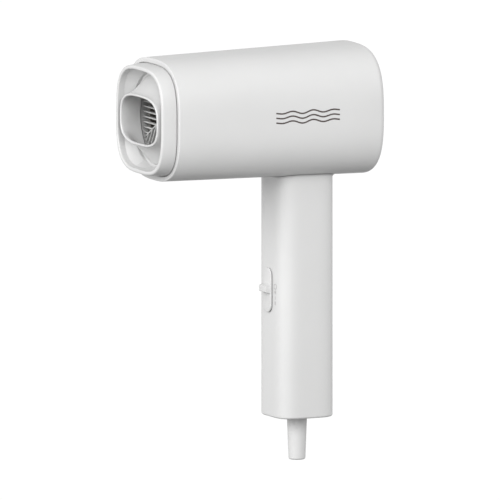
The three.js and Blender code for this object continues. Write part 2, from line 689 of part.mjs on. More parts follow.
piece('heater_duct', heaterDuct(), innerNylon());
piece('mica_sleeve', micaSleeve(), mica());
piece('heater_board_flat', heaterBoard(true), mica());
piece('heater_board_upright', heaterBoard(false).rotateY(Math.PI / 2), mica());
piece('heater_coil_front', heaterCoil(-76, -63), steel());
piece('heater_coil_rear', heaterCoil(-57, -44), steel());
piece('thermostat', thermostat(), darkPlastic());
piece('thermal_fuse', thermalFuse(), steel());

piece('fan_shroud', fanShroud(), innerNylon());
piece('motor_body', motorBody(), steel());
piece('motor_damper', motorDamper(), darkPlastic());
piece('motor_shaft', motorShaft(), steel());
piece('rectifier_board', rectifierBoard(), finish(0x2e5a3c, 0.6));
piece('fan_impeller', fanImpeller(), darkPlastic());

piece('rear_grille', rearGrille(), shellWhite());
piece('intake_filter', intakeFilter(), darkPlastic());

piece('handle_housing', handleHousing(), shellWhite());
piece('neck_clamp', neckClamp(), innerNylon());
piece('handle_frame', handleFrame(), innerNylon());
piece('bottom_cap', bottomCap(), shellWhite());
piece('strain_relief', strainRelief(), softRubber());
piece('cord_clamp', cordClamp(), innerNylon());

for (const [side, s] of [['left', -1], ['right', 1]]) {
  const neckScrew = screwGeometry(NECK_PLATE_TOP + GAP, 17).translate(NECK_SCREW_X * s, 0, 0);
  const capScrew = screwGeometry(0, 9).rotateX(Math.PI)
    .translate(CAP_SCREW_X * s, 0, HANDLE_BOTTOM + 1.9);
  piece(`neck_screw_${side}`, neckScrew, steel());
  piece(`cap_screw_${side}`, capScrew, steel());
  piece(`clamp_screw_${side}`, clampScrew(CLAMP_SCREW_X * s), steel());
  piece(`heater_lead_${side}`, heaterLead(LEAD_X * s), finish(s < 0 ? 0x3d6cb0 : 0x8a5a3a, 0.6));
  piece(`mains_lead_${side}`, mainsLead(LEAD_X * s), finish(s < 0 ? 0x3d6cb0 : 0x8a5a3a, 0.6));
}

piece('switch_body', switchBody(), darkPlastic());
piece('switch_actuator', switchActuator(), darkPlastic());
piece('slide_knob', slideKnob(), shellWhite());
piece('suppression_capacitor', suppressionCapacitor(), finish(0xd9b53a, 0.5));

dryer.position.z = GRIP_DEPTH;

export default dryer;
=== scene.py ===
# %% [markdown]
# # A hand-held hair dryer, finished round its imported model
#
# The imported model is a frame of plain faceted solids: it holds every size, place and joint. This file gives
# each of those solids its real surface. A smooth moulding replaces a faceted one, the grilles, screws, coils
# and printed marks are grown by node trees, and every piece gets a material that is built from nodes.
# All lengths are in metres, and +Z is up. The nozzle points along -Y and the handle hangs down.

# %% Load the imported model
import math
from collections import namedtuple

import bmesh
import bpy
from mathutils import Matrix, Vector


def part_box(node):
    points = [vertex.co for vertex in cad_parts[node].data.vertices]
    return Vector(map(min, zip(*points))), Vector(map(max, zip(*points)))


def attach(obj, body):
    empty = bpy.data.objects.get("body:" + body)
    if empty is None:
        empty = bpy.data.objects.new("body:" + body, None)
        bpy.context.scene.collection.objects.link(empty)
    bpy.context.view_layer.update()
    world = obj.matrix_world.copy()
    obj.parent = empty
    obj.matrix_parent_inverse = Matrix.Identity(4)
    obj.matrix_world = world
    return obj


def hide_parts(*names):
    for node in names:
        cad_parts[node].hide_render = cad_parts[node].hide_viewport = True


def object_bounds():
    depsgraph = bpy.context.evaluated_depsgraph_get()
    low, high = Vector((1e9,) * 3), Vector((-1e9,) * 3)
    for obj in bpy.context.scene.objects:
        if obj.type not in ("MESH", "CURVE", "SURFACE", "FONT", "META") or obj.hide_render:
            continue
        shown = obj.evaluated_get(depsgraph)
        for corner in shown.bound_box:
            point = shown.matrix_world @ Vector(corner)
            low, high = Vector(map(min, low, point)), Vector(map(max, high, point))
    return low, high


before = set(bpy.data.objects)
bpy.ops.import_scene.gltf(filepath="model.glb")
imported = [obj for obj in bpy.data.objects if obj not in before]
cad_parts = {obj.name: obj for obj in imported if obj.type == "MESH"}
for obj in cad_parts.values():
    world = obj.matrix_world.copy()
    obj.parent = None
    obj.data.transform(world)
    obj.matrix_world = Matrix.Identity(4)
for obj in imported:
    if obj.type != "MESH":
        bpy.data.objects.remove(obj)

cad_low, cad_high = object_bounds()
MM = 0.001
link = bpy.context.scene.collection.objects.link
print("packed model, mm:", [round(s / MM, 1) for s in cad_high - cad_low])

# %% [markdown]
# The frame says where each solid is. Everything below is placed from these boxes, so nothing has to be
# fitted by eye. The barrel's axis runs along Y through the middle of its box, and the handle's axis runs
# along Z through the origin.

# %% Places that the frame gives
barrel_low, barrel_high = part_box("barrel_housing")
handle_low, handle_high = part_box("handle_housing")
collar_low, collar_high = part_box("nozzle_collar")
throat_low, throat_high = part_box("nozzle_throat")
ring_low, ring_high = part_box("nozzle_ring")
bezel_low, bezel_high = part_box("front_bezel")
grille_low, grille_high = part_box("outlet_grille")
cover_low, cover_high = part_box("rear_grille")
filter_low, filter_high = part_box("intake_filter")
knob_low, knob_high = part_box("slide_knob")
cap_low, cap_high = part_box("bottom_cap")
relief_low, relief_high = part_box("strain_relief")
AXIS_Z = (barrel_low.z + barrel_high.z) / 2
print("barrel axis height, mm:", round(AXIS_Z / MM, 2))

# %% [markdown]
# ## Camera, floor and light
#
# The camera looks from the front right and a little above. Its view is parallel: sides that run parallel on
# the dryer stay parallel in the view. It is aimed at a point beside the handle, which puts the dryer where
# it belongs in the frame without any lens shift.

# %% Camera
VIEW_TURN = 64.3
VIEW_RISE = 7.77
VIEW_DISTANCE = 10.0
FRAME_WIDTH = 0.300
AIM_RIGHT = -28.16 * MM
AIM_DOWN = 83.98 * MM


def direction(turn, rise):
    """The way to a place so many degrees round from the nozzle's front and above the horizon."""
    turn, rise = math.radians(turn), math.radians(rise)
    return Vector((math.sin(turn) * math.cos(rise), -math.cos(turn) * math.cos(rise), math.sin(rise)))


def aimed(name, data, target, way, distance):
    """Links a camera or a lamp that stands off from a target and looks back at it."""
    thing = bpy.data.objects.new(name, data)
    thing.location = target + way * distance
    thing.rotation_mode = "QUATERNION"
    thing.rotation_quaternion = (-way).to_track_quat("-Z", "Y")
    link(thing)
    return thing


towards_camera = direction(VIEW_TURN, VIEW_RISE)
view_right = direction(VIEW_TURN + 90, 0)
view_up = towards_camera.cross(view_right)
aim = Vector((0.0, 0.0, AXIS_Z)) + view_right * AIM_RIGHT - view_up * AIM_DOWN

camera_data = bpy.data.cameras.new("camera")
camera_data.type = "ORTHO"
camera_data.ortho_scale = FRAME_WIDTH
camera_data.clip_start = 0.1
camera_data.clip_end = 60.0
bpy.context.scene.camera = aimed("camera", camera_data, aim, towards_camera, VIEW_DISTANCE)
print("width of the view, mm:", FRAME_WIDTH / MM)

# %% [markdown]
# Both shader trees and geometry trees are sheets of nodes, so one small helper writes both. It makes a
# node, sets its options, and feeds its inputs in order with numbers or with other nodes' outputs. A few
# steps that most geometry trees share have a line of their own.

# %% A helper that writes node trees
class NodeSheet:
    """Writes nodes into a tree: numbers, sockets and whole nodes can all be fed to an input."""

    def __init__(self, tree):
        self.tree = tree

    def feed(self, socket, value):
        if isinstance(value, bpy.types.Node):
            value = value.outputs[0]
        if isinstance(value, bpy.types.NodeSocket):
            self.tree.links.new(value, socket)
        else:
            socket.default_value = value

    def add(self, kind, *values, named=None, **options):
        node = self.tree.nodes.new(kind)
        for option, choice in options.items():
            setattr(node, option, choice)
        for place, value in enumerate(values):
            if value is not None:
                self.feed(node.inputs[place], value)
        for name, value in (named or {}).items():
            self.feed(node.inputs[name], value)
        return node

    def sum(self, operation, *values):
        """One step of arithmetic. The commonest steps have names of their own below."""
        return self.add("ShaderNodeMath", *values, operation=operation)

    def times(self, *values):
        return self.sum("MULTIPLY", *values)

    def plus(self, *values):
        return self.sum("ADD", *values)

    def minus(self, *values):
        return self.sum("SUBTRACT", *values)

    def over(self, *values):
        return self.sum("DIVIDE", *values)

    def power(self, *values):
        return self.sum("POWER", *values)

    def spots(self, count):
        """So many points, all at the origin, to be placed by their numbers."""
        return self.add("GeometryNodeMeshLine", named={"Count": count, "Offset": (0.0, 0.0, 0.0)})

    def placed(self, shape, place):
        """The shape, with each of its points moved to a place of its own."""
        return self.add("GeometryNodeSetPosition", shape, named={"Position": place})

    def swept(self, path, sides, radius):
        """A wire with so many sides along a path, closed at both ends."""
        section = self.add("GeometryNodeCurvePrimitiveCircle", mode="RADIUS", named={
            "Resolution": sides, "Radius": radius,
        })
        return self.add("GeometryNodeCurveToMesh", path, section, named={"Fill Caps": True})


def meshed(name, shape):
    """A mesh made from a working shape, which is then let go."""
    mesh = bpy.data.meshes.new(name)
    shape.to_mesh(mesh)
    shape.free()
    return mesh


# %% [markdown]
# ## Floor and light
#
# A product like this is lit by big soft panels in a white room. The floor lies far below the dryer, so no
# shadow falls in view. It glows evenly far out and is dimmer in the middle: that keeps the undersides of the
# barrel from being filled with bounced light, as a dark table under the object would.

# %% Floor
FLOOR_DROP = 0.9
FLOOR_RADIUS = 40.0
FLOOR_NEAR_RADIUS = 1.1
FLOOR_FAR_RADIUS = 3.2
FLOOR_NEAR_GLOW = 0.26
FLOOR_FAR_GLOW = 1.03


def floor_finish():
    material = bpy.data.materials.new("studio_floor")
    material.use_nodes = True
    sheet = NodeSheet(material.node_tree)
    sheet.tree.nodes.clear()
    place = sheet.add("ShaderNodeTexCoord").outputs["Object"]
    distance = sheet.add("ShaderNodeVectorMath", place, operation="LENGTH").outputs["Value"]
    glow = sheet.add(
        "ShaderNodeMapRange", distance,
        FLOOR_NEAR_RADIUS, FLOOR_FAR_RADIUS, FLOOR_NEAR_GLOW, FLOOR_FAR_GLOW,
        interpolation_type="SMOOTHSTEP",
    )
    sheet.add("ShaderNodeOutputMaterial", sheet.add("ShaderNodeEmission", None, glow))
    return material


floor_shape = bmesh.new()
bmesh.ops.create_circle(floor_shape, cap_ends=True, segments=96, radius=FLOOR_RADIUS)
floor_mesh = meshed("floor", floor_shape)
floor_mesh.materials.append(floor_finish())
floor = bpy.data.objects.new("floor", floor_mesh)
floor.location.z = cad_low.z - FLOOR_DROP
link(floor)

# %% Light
WORLD_STRENGTH = 0.70
PANELS = (
    ("camera_side_panel", 72, 26, 192.0),
    ("front_corner_panel", 35, 32, 34.0),
    ("front_panel", 0, 20, 150.0),
)
PANEL_DISTANCE = 5.0
PANEL_SIZE = 3.2
PANEL_TARGET = Vector((0.0, -0.02, 0.03))

for name, turn, rise, power in PANELS:
    data = bpy.data.lights.new(name, "AREA")
    data.shape = "DISK"
    data.size = PANEL_SIZE
    data.energy = power
    aimed(name, data, PANEL_TARGET, direction(turn, rise), PANEL_DISTANCE)

world = bpy.data.worlds.new("white_room")
world.use_nodes = True
sky = world.node_tree.nodes["Background"].inputs
sky["Color"].default_value = (1.0, 1.0, 1.0, 1.0)
sky["Strength"].default_value = WORLD_STRENGTH
bpy.context.scene.world = world
bpy.context.scene.view_settings.view_transform = "Standard"

# %% [markdown]
# ## Materials
#
# The casing is satin moulded plastic. It looks plain from afar, but its mould was spark-eroded, so the
# surface carries a fine grain that breaks up the gloss. Two noises do that: a fine one for the grain, and a
# broad, weak one for the slow changes in gloss that handling leaves.

# %% Moulded plastic
GRAIN_SIZE = 0.35 * MM
BROAD_NOISE = 22.0
SHADE_DRIFT = 0.03
GLOSS_DRIFT = 0.06
NOISE_LOW, NOISE_HIGH = 0.3, 0.7


def surfaced(name):
    """Starts a material: the material, its sheet, its surface's inputs and the place on the object."""
    material = bpy.data.materials.new(name)
    material.use_nodes = True
    sheet = NodeSheet(material.node_tree)
    place = sheet.add("ShaderNodeTexCoord").outputs["Object"]
    return material, sheet, sheet.tree.nodes["Principled BSDF"].inputs, place


def drifting(sheet, surface, noise, color, shade_drift, roughness, gloss_drift):
    """Lets a noise change the shade and the gloss a little from place to place."""
    span = (noise.outputs["Fac"], NOISE_LOW, NOISE_HIGH)
    tint = sheet.add("ShaderNodeVectorMath", color, operation="SCALE")
    sheet.feed(tint.inputs["Scale"], sheet.add("ShaderNodeMapRange", *span, 1.0 - shade_drift, 1.0))
    sheet.feed(surface["Base Color"], tint)
    sheet.feed(surface["Roughness"], sheet.add(
        "ShaderNodeMapRange", *span, roughness - gloss_drift, roughness + gloss_drift,
    ))


def moulded(name, color, roughness, grain=0.010 * MM):
    """A moulded surface: slight drift of shade, uneven gloss and a fine grain as bump."""
    material, sheet, surface, place = surfaced(name)
    broad = sheet.add("ShaderNodeTexNoise", named={
        "Vector": place, "Scale": BROAD_NOISE, "Detail": 3.0, "Roughness": 0.6,
    })
    fine = sheet.add("ShaderNodeTexNoise", named={
        "Vector": place, "Scale": 1.0 / GRAIN_SIZE, "Detail": 2.0, "Roughness": 0.55,
    })
    drifting(sheet, surface, broad, color, SHADE_DRIFT, roughness, GLOSS_DRIFT)
    sheet.feed(surface["Normal"], sheet.add("ShaderNodeBump", named={
        "Height": fine.outputs["Fac"], "Distance": grain, "Strength": 1.0,
    }))
    return material


casing = moulded("casing_white", (0.51, 0.51, 0.508), 0.40, grain=0.006 * MM)
outlet_grey = moulded("outlet_grey", (0.50, 0.50, 0.495), 0.45, grain=0.006 * MM)
sleeve_rubber = moulded("cord_sleeve_soft", (0.51, 0.51, 0.508), 0.52, grain=0.008 * MM)
inner_nylon = moulded("inner_nylon", (0.50, 0.49, 0.46), 0.55)
dark_nylon = moulded("dark_nylon", (0.030, 0.030, 0.033), 0.5)
board_green = moulded("board_green", (0.03, 0.13, 0.06), 0.35)
capacitor_yellow = moulded("capacitor_yellow", (0.70, 0.46, 0.05), 0.3)
damper_black = moulded("damper_rubber", (0.02, 0.02, 0.02), 0.7)
lead_blue = moulded("lead_blue", (0.04, 0.12, 0.38), 0.45)
lead_brown = moulded("lead_brown", (0.20, 0.08, 0.035), 0.45)
filter_black = moulded("filter_mesh_black", (0.035, 0.035, 0.038), 0.6)
print("finishes so far:", len(bpy.data.materials))

# %% [markdown]
# Metal parts are drawn wire, turned shafts and plated screws, so their gloss runs in fine lines along the
# way they were drawn. Mica is pressed from thin flakes: patches of slightly different brown, with a
# pearly gloss. The browns are the mica's own colour, but they are kept dark so that the heater seen through
# the outlet grille reads dark. Part of that darkness is painted shade.

# %% Metal and mica
DRAWN_LINES = 1800.0
METAL_SHADE_DRIFT = 0.12
METAL_GLOSS_DRIFT = 0.08
MICA_FLAKES = 420.0
# Both browns are the mica's own tint, kept dark: part of their darkness is painted shade for the heater seen
# through the outlet grille.
MICA_LIGHT = (0.15, 0.14, 0.125, 1.0)
MICA_DARK = (0.095, 0.088, 0.078, 1.0)
MICA_RELIEF = 0.04 * MM


def drawn_metal(name, color, roughness, stretch=(1.0, 0.06, 1.0)):
    """Bare metal whose gloss runs in fine lines along its way of drawing."""
    material, sheet, surface, place = surfaced(name)
    surface["Metallic"].default_value = 1.0
    pulled = sheet.add("ShaderNodeMapping", place, named={"Scale": stretch})
    lines = sheet.add("ShaderNodeTexNoise", named={
        "Vector": pulled.outputs["Vector"], "Scale": DRAWN_LINES, "Detail": 3.0,
    })
    drifting(sheet, surface, lines, color, METAL_SHADE_DRIFT, roughness, METAL_GLOSS_DRIFT)
    return material


def pressed_mica(name):
    """Patches of two browns with a slight relief between them."""
    material, sheet, surface, place = surfaced(name)
    flakes = sheet.add("ShaderNodeTexVoronoi", named={"Vector": place, "Scale": MICA_FLAKES})
    ramp = sheet.add("ShaderNodeValToRGB", flakes.outputs["Distance"])
    ramp.color_ramp.elements[0].color = MICA_LIGHT
    ramp.color_ramp.elements[1].color = MICA_DARK
    sheet.feed(surface["Base Color"], ramp)
    surface["Roughness"].default_value = 0.42
    sheet.feed(surface["Normal"], sheet.add("ShaderNodeBump", named={
        "Height": flakes.outputs["Distance"], "Distance": MICA_RELIEF, "Strength": 0.7,
    }))
    return material


plated_steel = drawn_metal("plated_steel", (0.62, 0.62, 0.64), 0.30)
motor_steel = drawn_metal("motor_steel", (0.55, 0.55, 0.56), 0.38, stretch=(0.05, 1.0, 1.0))
heating_wire = drawn_metal("heating_wire", (0.34, 0.31, 0.28), 0.42)
mica = pressed_mica("mica")

# %% [markdown]
# ## Turned and squared mouldings
#
# The barrel, the collar, the handle and most other casings are neither round nor square: their outline
# is a superellipse, |x|^n + |z|^n = 1, where n = 2 is a circle and a larger n is squarer. They could be
# lofted section by section. Here they are spun round from one profile, as on a lathe, and a geometry tree
# then pushes every point out along its own radius to the squared outline. Each point of the profile
# carries its own squareness, and its own flatness where the outline is lower than it is wide, so a flat
# lip can ease into a round root.

# %% How every geometry tree starts and ends
def started(name, floats=(), ints=(), shape=False):
    """Starts a geometry tree with its named inputs. Returns its sheet and what it is given."""
    tree = bpy.data.node_groups.new(name, "GeometryNodeTree")
    inputs = [("Geometry", "NodeSocketGeometry")] if shape else []
    inputs += [(label, "NodeSocketFloat") for label in floats]
    inputs += [(label, "NodeSocketInt") for label in ints]
    for label, kind in (*inputs, ("Finish", "NodeSocketMaterial")):
        tree.interface.new_socket(name=label, in_out="INPUT", socket_type=kind)
    tree.interface.new_socket(name="Geometry", in_out="OUTPUT", socket_type="NodeSocketGeometry")
    sheet = NodeSheet(tree)
    return sheet, sheet.add("NodeGroupInput").outputs


def ended(sheet, given, shape):
    """Ends a tree: its copies become one real shape in the given finish."""
    painted = sheet.add("GeometryNodeSetMaterial", sheet.add("GeometryNodeRealizeInstances", shape))
    sheet.feed(painted.inputs["Material"], given["Finish"])
    sheet.add("NodeGroupOutput", painted)
    return sheet.tree


# %% The tree that squares off a turned shape
def square_off_tree():
    sheet, given = started("Square off", shape=True)
    point = sheet.add("ShaderNodeSeparateXYZ", sheet.add("GeometryNodeInputPosition")).outputs
    away = sheet.sum("SQRT", sheet.plus(sheet.power(point["X"], 2.0), sheet.power(point["Z"], 2.0)))
    radius = sheet.sum("MAXIMUM", away, 1e-7)
    square, flat = (
        sheet.add("GeometryNodeInputNamedAttribute", label, data_type="FLOAT").outputs["Attribute"]
        for label in ("square", "flat")
    )
    shares = [
        sheet.power(sheet.sum("ABSOLUTE", sheet.over(point[axis], radius)), square)
        for axis in ("X", "Z")
    ]
    reach = sheet.power(sheet.sum("MAXIMUM", sheet.plus(*shares), 1e-6), sheet.over(-1.0, square))
    moved = sheet.placed(given["Geometry"], sheet.add(
        "ShaderNodeCombineXYZ",
        sheet.times(point["X"], reach),
        point["Y"],
        sheet.times(sheet.times(point["Z"], reach), flat),
    ))
    return ended(sheet, given, moved)


SQUARE_OFF = square_off_tree()
print("square-off tree nodes:", len(SQUARE_OFF.nodes))

# %% Helpers that run a tree and finish a mesh
WELD = 1e-7


def grown(name, tree, mesh=None, **sizes):
    """Runs a geometry tree and returns its result as a plain mesh. Sizes are the tree's named inputs."""
    holder = bpy.data.objects.new(name, mesh or bpy.data.meshes.new(name))
    link(holder)
    modifier = holder.modifiers.new("grow", "NODES")
    modifier.node_group = tree
    for item in tree.interface.items_tree:
        if item.in_out == "INPUT" and item.name in sizes:
            modifier[item.identifier] = sizes[item.name]
    return settled(holder)


def settled(holder, *helpers):
    """The plain mesh that a holder's modifiers make. The holder and its helpers are taken away."""
    bpy.context.view_layer.update()
    result = bpy.data.meshes.new_from_object(
        holder.evaluated_get(bpy.context.evaluated_depsgraph_get())
    )
    for thing in (holder, *helpers):
        bpy.data.objects.remove(thing)
    return result


def welded(mesh):
    """A working shape of a mesh, with its double points merged."""
    shape = bmesh.new()
    shape.from_mesh(mesh)
    bmesh.ops.remove_doubles(shape, verts=shape.verts, dist=WELD)
    return shape


def outward(mesh):
    """Welds a closed mesh's doubles and turns it right side out."""
    shape = welded(mesh)
    if shape.calc_volume(signed=True) < 0:
        bmesh.ops.reverse_faces(shape, faces=shape.faces)
    shape.to_mesh(mesh)
    shape.free()
    return mesh


def piece(name, mesh, body, nodes=(), crease=34):
    """Links a finished mesh as a named piece, on its body, in place of its plain solids."""
    mesh.shade_smooth()
    mesh.set_sharp_from_angle(angle=math.radians(crease))
    mesh.name = name
    thing = bpy.data.objects.new(name, mesh)
    link(thing)
    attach(thing, body)
    if nodes:
        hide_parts(*nodes)
    print(f"{name}: {len(mesh.polygons)} faces, {max(thing.dimensions) / MM:.1f} mm long")


# %% Profiles
Stop = namedtuple("Stop", "half along square flat", defaults=(2.0, 1.0))
SIDES = 192


def arc(half, along, radius, start, end, square=2.0, steps=8):
    """Stops round an arc. At 0 degrees the profile is outermost, and at 90 it is rearmost."""
    angles = [math.radians(start + (end - start) * i / steps) for i in range(steps + 1)]
    return [
        Stop(half + radius * math.cos(a), along + radius * math.sin(a), square) for a in angles
    ]


def tube_stops(inner, outer, front, back, soft):
    """Profile of a plain tube with four rounded edges."""
    return [
        *arc(inner + soft, front + soft, soft, 180, 270, 2.0, 4),
        *arc(outer - soft, front + soft, soft, -90, 0, 2.0, 4),
        *arc(outer - soft, back - soft, soft, 0, 90, 2.0, 4),
        *arc(inner + soft, back - soft, soft, 90, 180, 2.0, 4),
    ]


def mix(low, high, share):
    return low + (high - low) * share


def ease(share):
    return share * share * (3 - 2 * share)


def turned(name, stops, finish, sides=SIDES, upright=False):
    """Spins a closed profile round Y, squares it off, and lays it along the barrel or the handle."""
    count = len(stops)
    points, faces = [], []
    for side in range(sides):
        angle = 2 * math.pi * side / sides
        points += [(s.half * math.sin(angle), s.along, s.half * math.cos(angle)) for s in stops]
    for side in range(sides):
        here, after = side * count, (side + 1) % sides * count
        faces += [
            (here + i, here + (i + 1) % count, after + (i + 1) % count, after + i)
            for i in range(count)
        ]
    mesh = bpy.data.meshes.new(name)
    mesh.from_pydata(points, [], faces)
    for label, values in (("square", [s.square for s in stops]), ("flat", [s.flat for s in stops])):
        mesh.attributes.new(label, "FLOAT", "POINT").data.foreach_set("value", values * sides)
    result = outward(grown(name, SQUARE_OFF, mesh, Finish=finish))
    for label in ("square", "flat"):
        result.attributes.remove(result.attributes[label])
    if upright:
        result.transform(Matrix.Rotation(math.pi / 2, 4, "X"))
    else:
        result.transform(Matrix.Translation((0.0, 0.0, AXIS_Z)))
    return result


# %% [markdown]
# ## Barrel
#
# The barrel is one seamless sleeve, a little wider at the back than at the front. Its front edge turns in
# to a flat ring round the nozzle, and its back edge rolls over a broad radius into a slightly domed face
# with an opening for the intake cover. The wall is real: the profile runs down the outside and back up
# the inside.

# %% Barrel sleeve
BARREL_SQUARE = 2.9
BARREL_TAPER = 0.018
BARREL_WALL = 2.3 * MM
FRONT_WALL = 2.2 * MM
REAR_ROUND = 3.7 * MM
REAR_BULGE = 3.0 * MM
REAR_OPENING = 28.2 * MM
FRONT_OPENING = 33.6 * MM
FRONT_EDGE = 0.6 * MM
BARREL_STOPS = (-60 * MM, -20 * MM, 15 * MM)
COLLAR_SQUARE = 3.3

rim_half = barrel_high.x - REAR_ROUND
rear_plane = barrel_high.y - REAR_BULGE * (1 - (REAR_OPENING / rim_half) ** 2)
widest_along = rear_plane - REAR_ROUND


def barrel_half(along):
    return barrel_high.x - BARREL_TAPER * (widest_along - along)


def rear_face(half):
    """Place of the domed rear face at a given half width."""
    return rear_plane + REAR_BULGE * (1 - min(half / rim_half, 1.0) ** 2)


def barrel_mesh():
    sq, front = BARREL_SQUARE, barrel_low.y
    wall_front = front + FRONT_WALL
    soft, lip = 0.3 * MM, 0.5 * MM
    return turned("barrel_sleeve", [
        *arc(FRONT_OPENING + soft, front + soft, soft, 180, 270, COLLAR_SQUARE, 4),
        *arc(barrel_half(front) - FRONT_EDGE, front + FRONT_EDGE, FRONT_EDGE, -90, 0, sq, 8),
        *[Stop(barrel_half(y), y, sq) for y in BARREL_STOPS],
        *arc(rim_half, widest_along, REAR_ROUND, 0, 84, sq, 18),
        Stop(mix(rim_half, REAR_OPENING, 0.5), rear_face(mix(rim_half, REAR_OPENING, 0.5)), sq),
        *arc(REAR_OPENING + lip, rear_face(REAR_OPENING) - lip, lip, 90, 180, sq, 6),
        Stop(REAR_OPENING, rear_face(REAR_OPENING) - BARREL_WALL, sq),
        *arc(rim_half, widest_along, REAR_ROUND - BARREL_WALL, 84, 0, sq, 12),
        Stop(barrel_half(wall_front) - BARREL_WALL, wall_front, sq),
        Stop(FRONT_OPENING, wall_front, COLLAR_SQUARE),
    ], casing)


piece("barrel_sleeve", barrel_mesh(), "dryer", ["barrel_housing"])

# %% [markdown]
# ## Front bezel and snap ring
#
# Behind the barrel's front opening sits a ring with a smooth round bore. The nozzle plugs into it with a
# thin snap ring of its own, on which the nozzle turns. The bore shows when the nozzle is pulled off, and the
# snap ring comes away with the nozzle.

# %% Bezel and snap ring
FIT_GAP = 0.3 * MM
DUCT_SEAT = 2.0 * MM
SNAP_RING_INNER = 29.3 * MM


def bezel_mesh():
    sq, front, back = BARREL_SQUARE, bezel_low.y, bezel_high.y
    spigot = FRONT_OPENING - FIT_GAP
    bore = ring_high.x + FIT_GAP
    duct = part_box("heater_duct")[1].x + FIT_GAP
    shoulder = barrel_low.y + FRONT_WALL + FIT_GAP
    step = back - DUCT_SEAT
    soft = 0.4 * MM
    return turned("front_bezel_ring", [
        *arc(bore + soft, front + soft, soft, 180, 270, 2.0, 5),
        *arc(spigot - soft, front + soft, soft, -90, 0, COLLAR_SQUARE, 5),
        Stop(spigot, shoulder, COLLAR_SQUARE),
        Stop(bezel_high.x, shoulder, sq), Stop(bezel_high.x, back, sq),
        Stop(duct, back), Stop(duct, step), Stop(bore, step),
    ], casing)


snap_ring = turned(
    "nozzle_snap_ring",
    tube_stops(SNAP_RING_INNER, ring_high.x, ring_low.y, ring_high.y, 0.25 * MM), casing,
)
piece("front_bezel_ring", bezel_mesh(), "dryer", ["front_bezel"])
piece("nozzle_snap_ring", snap_ring, "nozzle_ring", ["nozzle_ring"])

# %% [markdown]
# ## Nozzle
#
# The nozzle is two mouldings. The collar is a square skirt with a rounded lip; inside the lip a short
# straight band turns into a bowl that shrinks to a round plug. The throat is a flattened tube in the
# middle that widens upwards and downwards until it fills the bowl. A plain loft between two outlines would
# make straight sides here. Instead the outside flares late, by a power, and meets the bowl in a small hollow
# fillet, while the inside follows an eased S.

# %% Collar
COLLAR_FLARE = 0.9 * MM
COLLAR_LIP = 2.3 * MM
COLLAR_GAP = 0.1 * MM
SKIRT_WALL = 1.7 * MM
LIP_WALL = 1.4 * MM
LIP_DEPTH = 2.8 * MM
PLUG_INNER = 27.6 * MM
PLUG_OUTER = 29.0 * MM
LIP_BAND = 1.5 * MM
BOWL_STRAIGHT = 3.0 * MM


def collar_mesh():
    sq, front, plug_back = COLLAR_SQUARE, collar_low.y, collar_high.y
    skirt = collar_high.x
    back = barrel_low.y - COLLAR_GAP
    lip = skirt - COLLAR_FLARE
    band = lip - COLLAR_LIP
    outer_round, inner_round, soft = 1.05 * MM, 0.75 * MM, 0.35 * MM
    bowl_start, bowl_end = plug_back - BOWL_STRAIGHT, front + LIP_BAND
    steps = 20
    bowl = [
        Stop(mix(PLUG_INNER, band, math.sin(math.pi / 2 * i / steps)),
             mix(bowl_start, bowl_end, 1 - math.cos(math.pi / 2 * i / steps)),
             mix(2.0, sq, math.sin(math.pi / 2 * i / steps)))
        for i in range(steps + 1)
    ]
    return turned("nozzle_collar_moulding", [
        *arc(lip - outer_round, front + outer_round, outer_round, -90, 0, sq, 8),
        *arc(skirt - soft, back - soft, soft, 0, 90, sq, 4),
        Stop(skirt - SKIRT_WALL, back, sq), Stop(lip - LIP_WALL, front + LIP_DEPTH, sq),
        Stop(PLUG_OUTER, back), Stop(PLUG_OUTER, plug_back - soft),
        *arc(PLUG_OUTER - soft, plug_back - soft, soft, 0, 90, 2.0, 3),
        Stop(PLUG_INNER, plug_back),
        *bowl,
        *arc(band + inner_round, front + inner_round, inner_round, 180, 270, sq, 7),
    ], casing)


piece("nozzle_collar_moulding", collar_mesh(), "nozzle", ["nozzle_collar"])

# %% Throat
THROAT_WIDE = 26.1 * MM
THROAT_HIGH = 15.4 * MM
THROAT_SQUARE = 3.1
THROAT_WALL = 1.5 * MM
THROAT_PROUD = 0.4 * MM
THROAT_FLARE = 1.8
ROOT_WAIST = 26.7 * MM
ROOT_FILLET = 0.8 * MM
ROOT_LENGTH = 2.8 * MM


def throat_stop(share, root, inset, along):
    """A stop between the flat lip, share 0, and the round root, share 1, set in from the outside."""
    wide = mix(THROAT_WIDE, root, share) - inset
    high = mix(THROAT_HIGH, root, share) - inset
    return Stop(wide, along, mix(THROAT_SQUARE, 2.0, share), high / wide)


def throat_mesh():
    front, back, root = throat_low.y - THROAT_PROUD, throat_high.y, throat_high.x
    half_wall = THROAT_WALL / 2
    start = front + half_wall
    waist = back - ROOT_LENGTH
    steps = 24
    lip = [
        throat_stop(0.0, root, half_wall * (1 + math.cos(math.radians(a))),
                    start - half_wall * math.sin(math.radians(a)))
        for a in range(15, 180, 15)
    ]
    outside = [
        throat_stop((i / steps) ** THROAT_FLARE, ROOT_WAIST, 0.0, mix(start, waist, i / steps))
        for i in range(steps + 1)
    ]
    fillet = arc(ROOT_WAIST + ROOT_FILLET, waist, ROOT_FILLET, 180, 90, 2.0, 8)[1:]
    inside = [
        throat_stop(ease(i / steps), root, THROAT_WALL, mix(start, back, i / steps))
        for i in range(steps + 1)
    ]
    return turned(
        "nozzle_throat_moulding",
        [*lip, *outside, *fillet, Stop(ROOT_WAIST + ROOT_FILLET, back), *reversed(inside)], casing,
    )


piece("nozzle_throat_moulding", throat_mesh(), "nozzle", ["nozzle_throat"])

# %% [markdown]
# ## Outlet grille
#
# A fixed grille closes the barrel behind the nozzle. Six spokes split it into sectors, and in each sector
# straight ribs run outwards from the spokes, parallel to the sector's middle. The pattern repeats, so a
# tree grows it: one line of points gives the ribs of a sector, each rib's start and length come from
# its own offset, and the sector is copied six times round the axis.

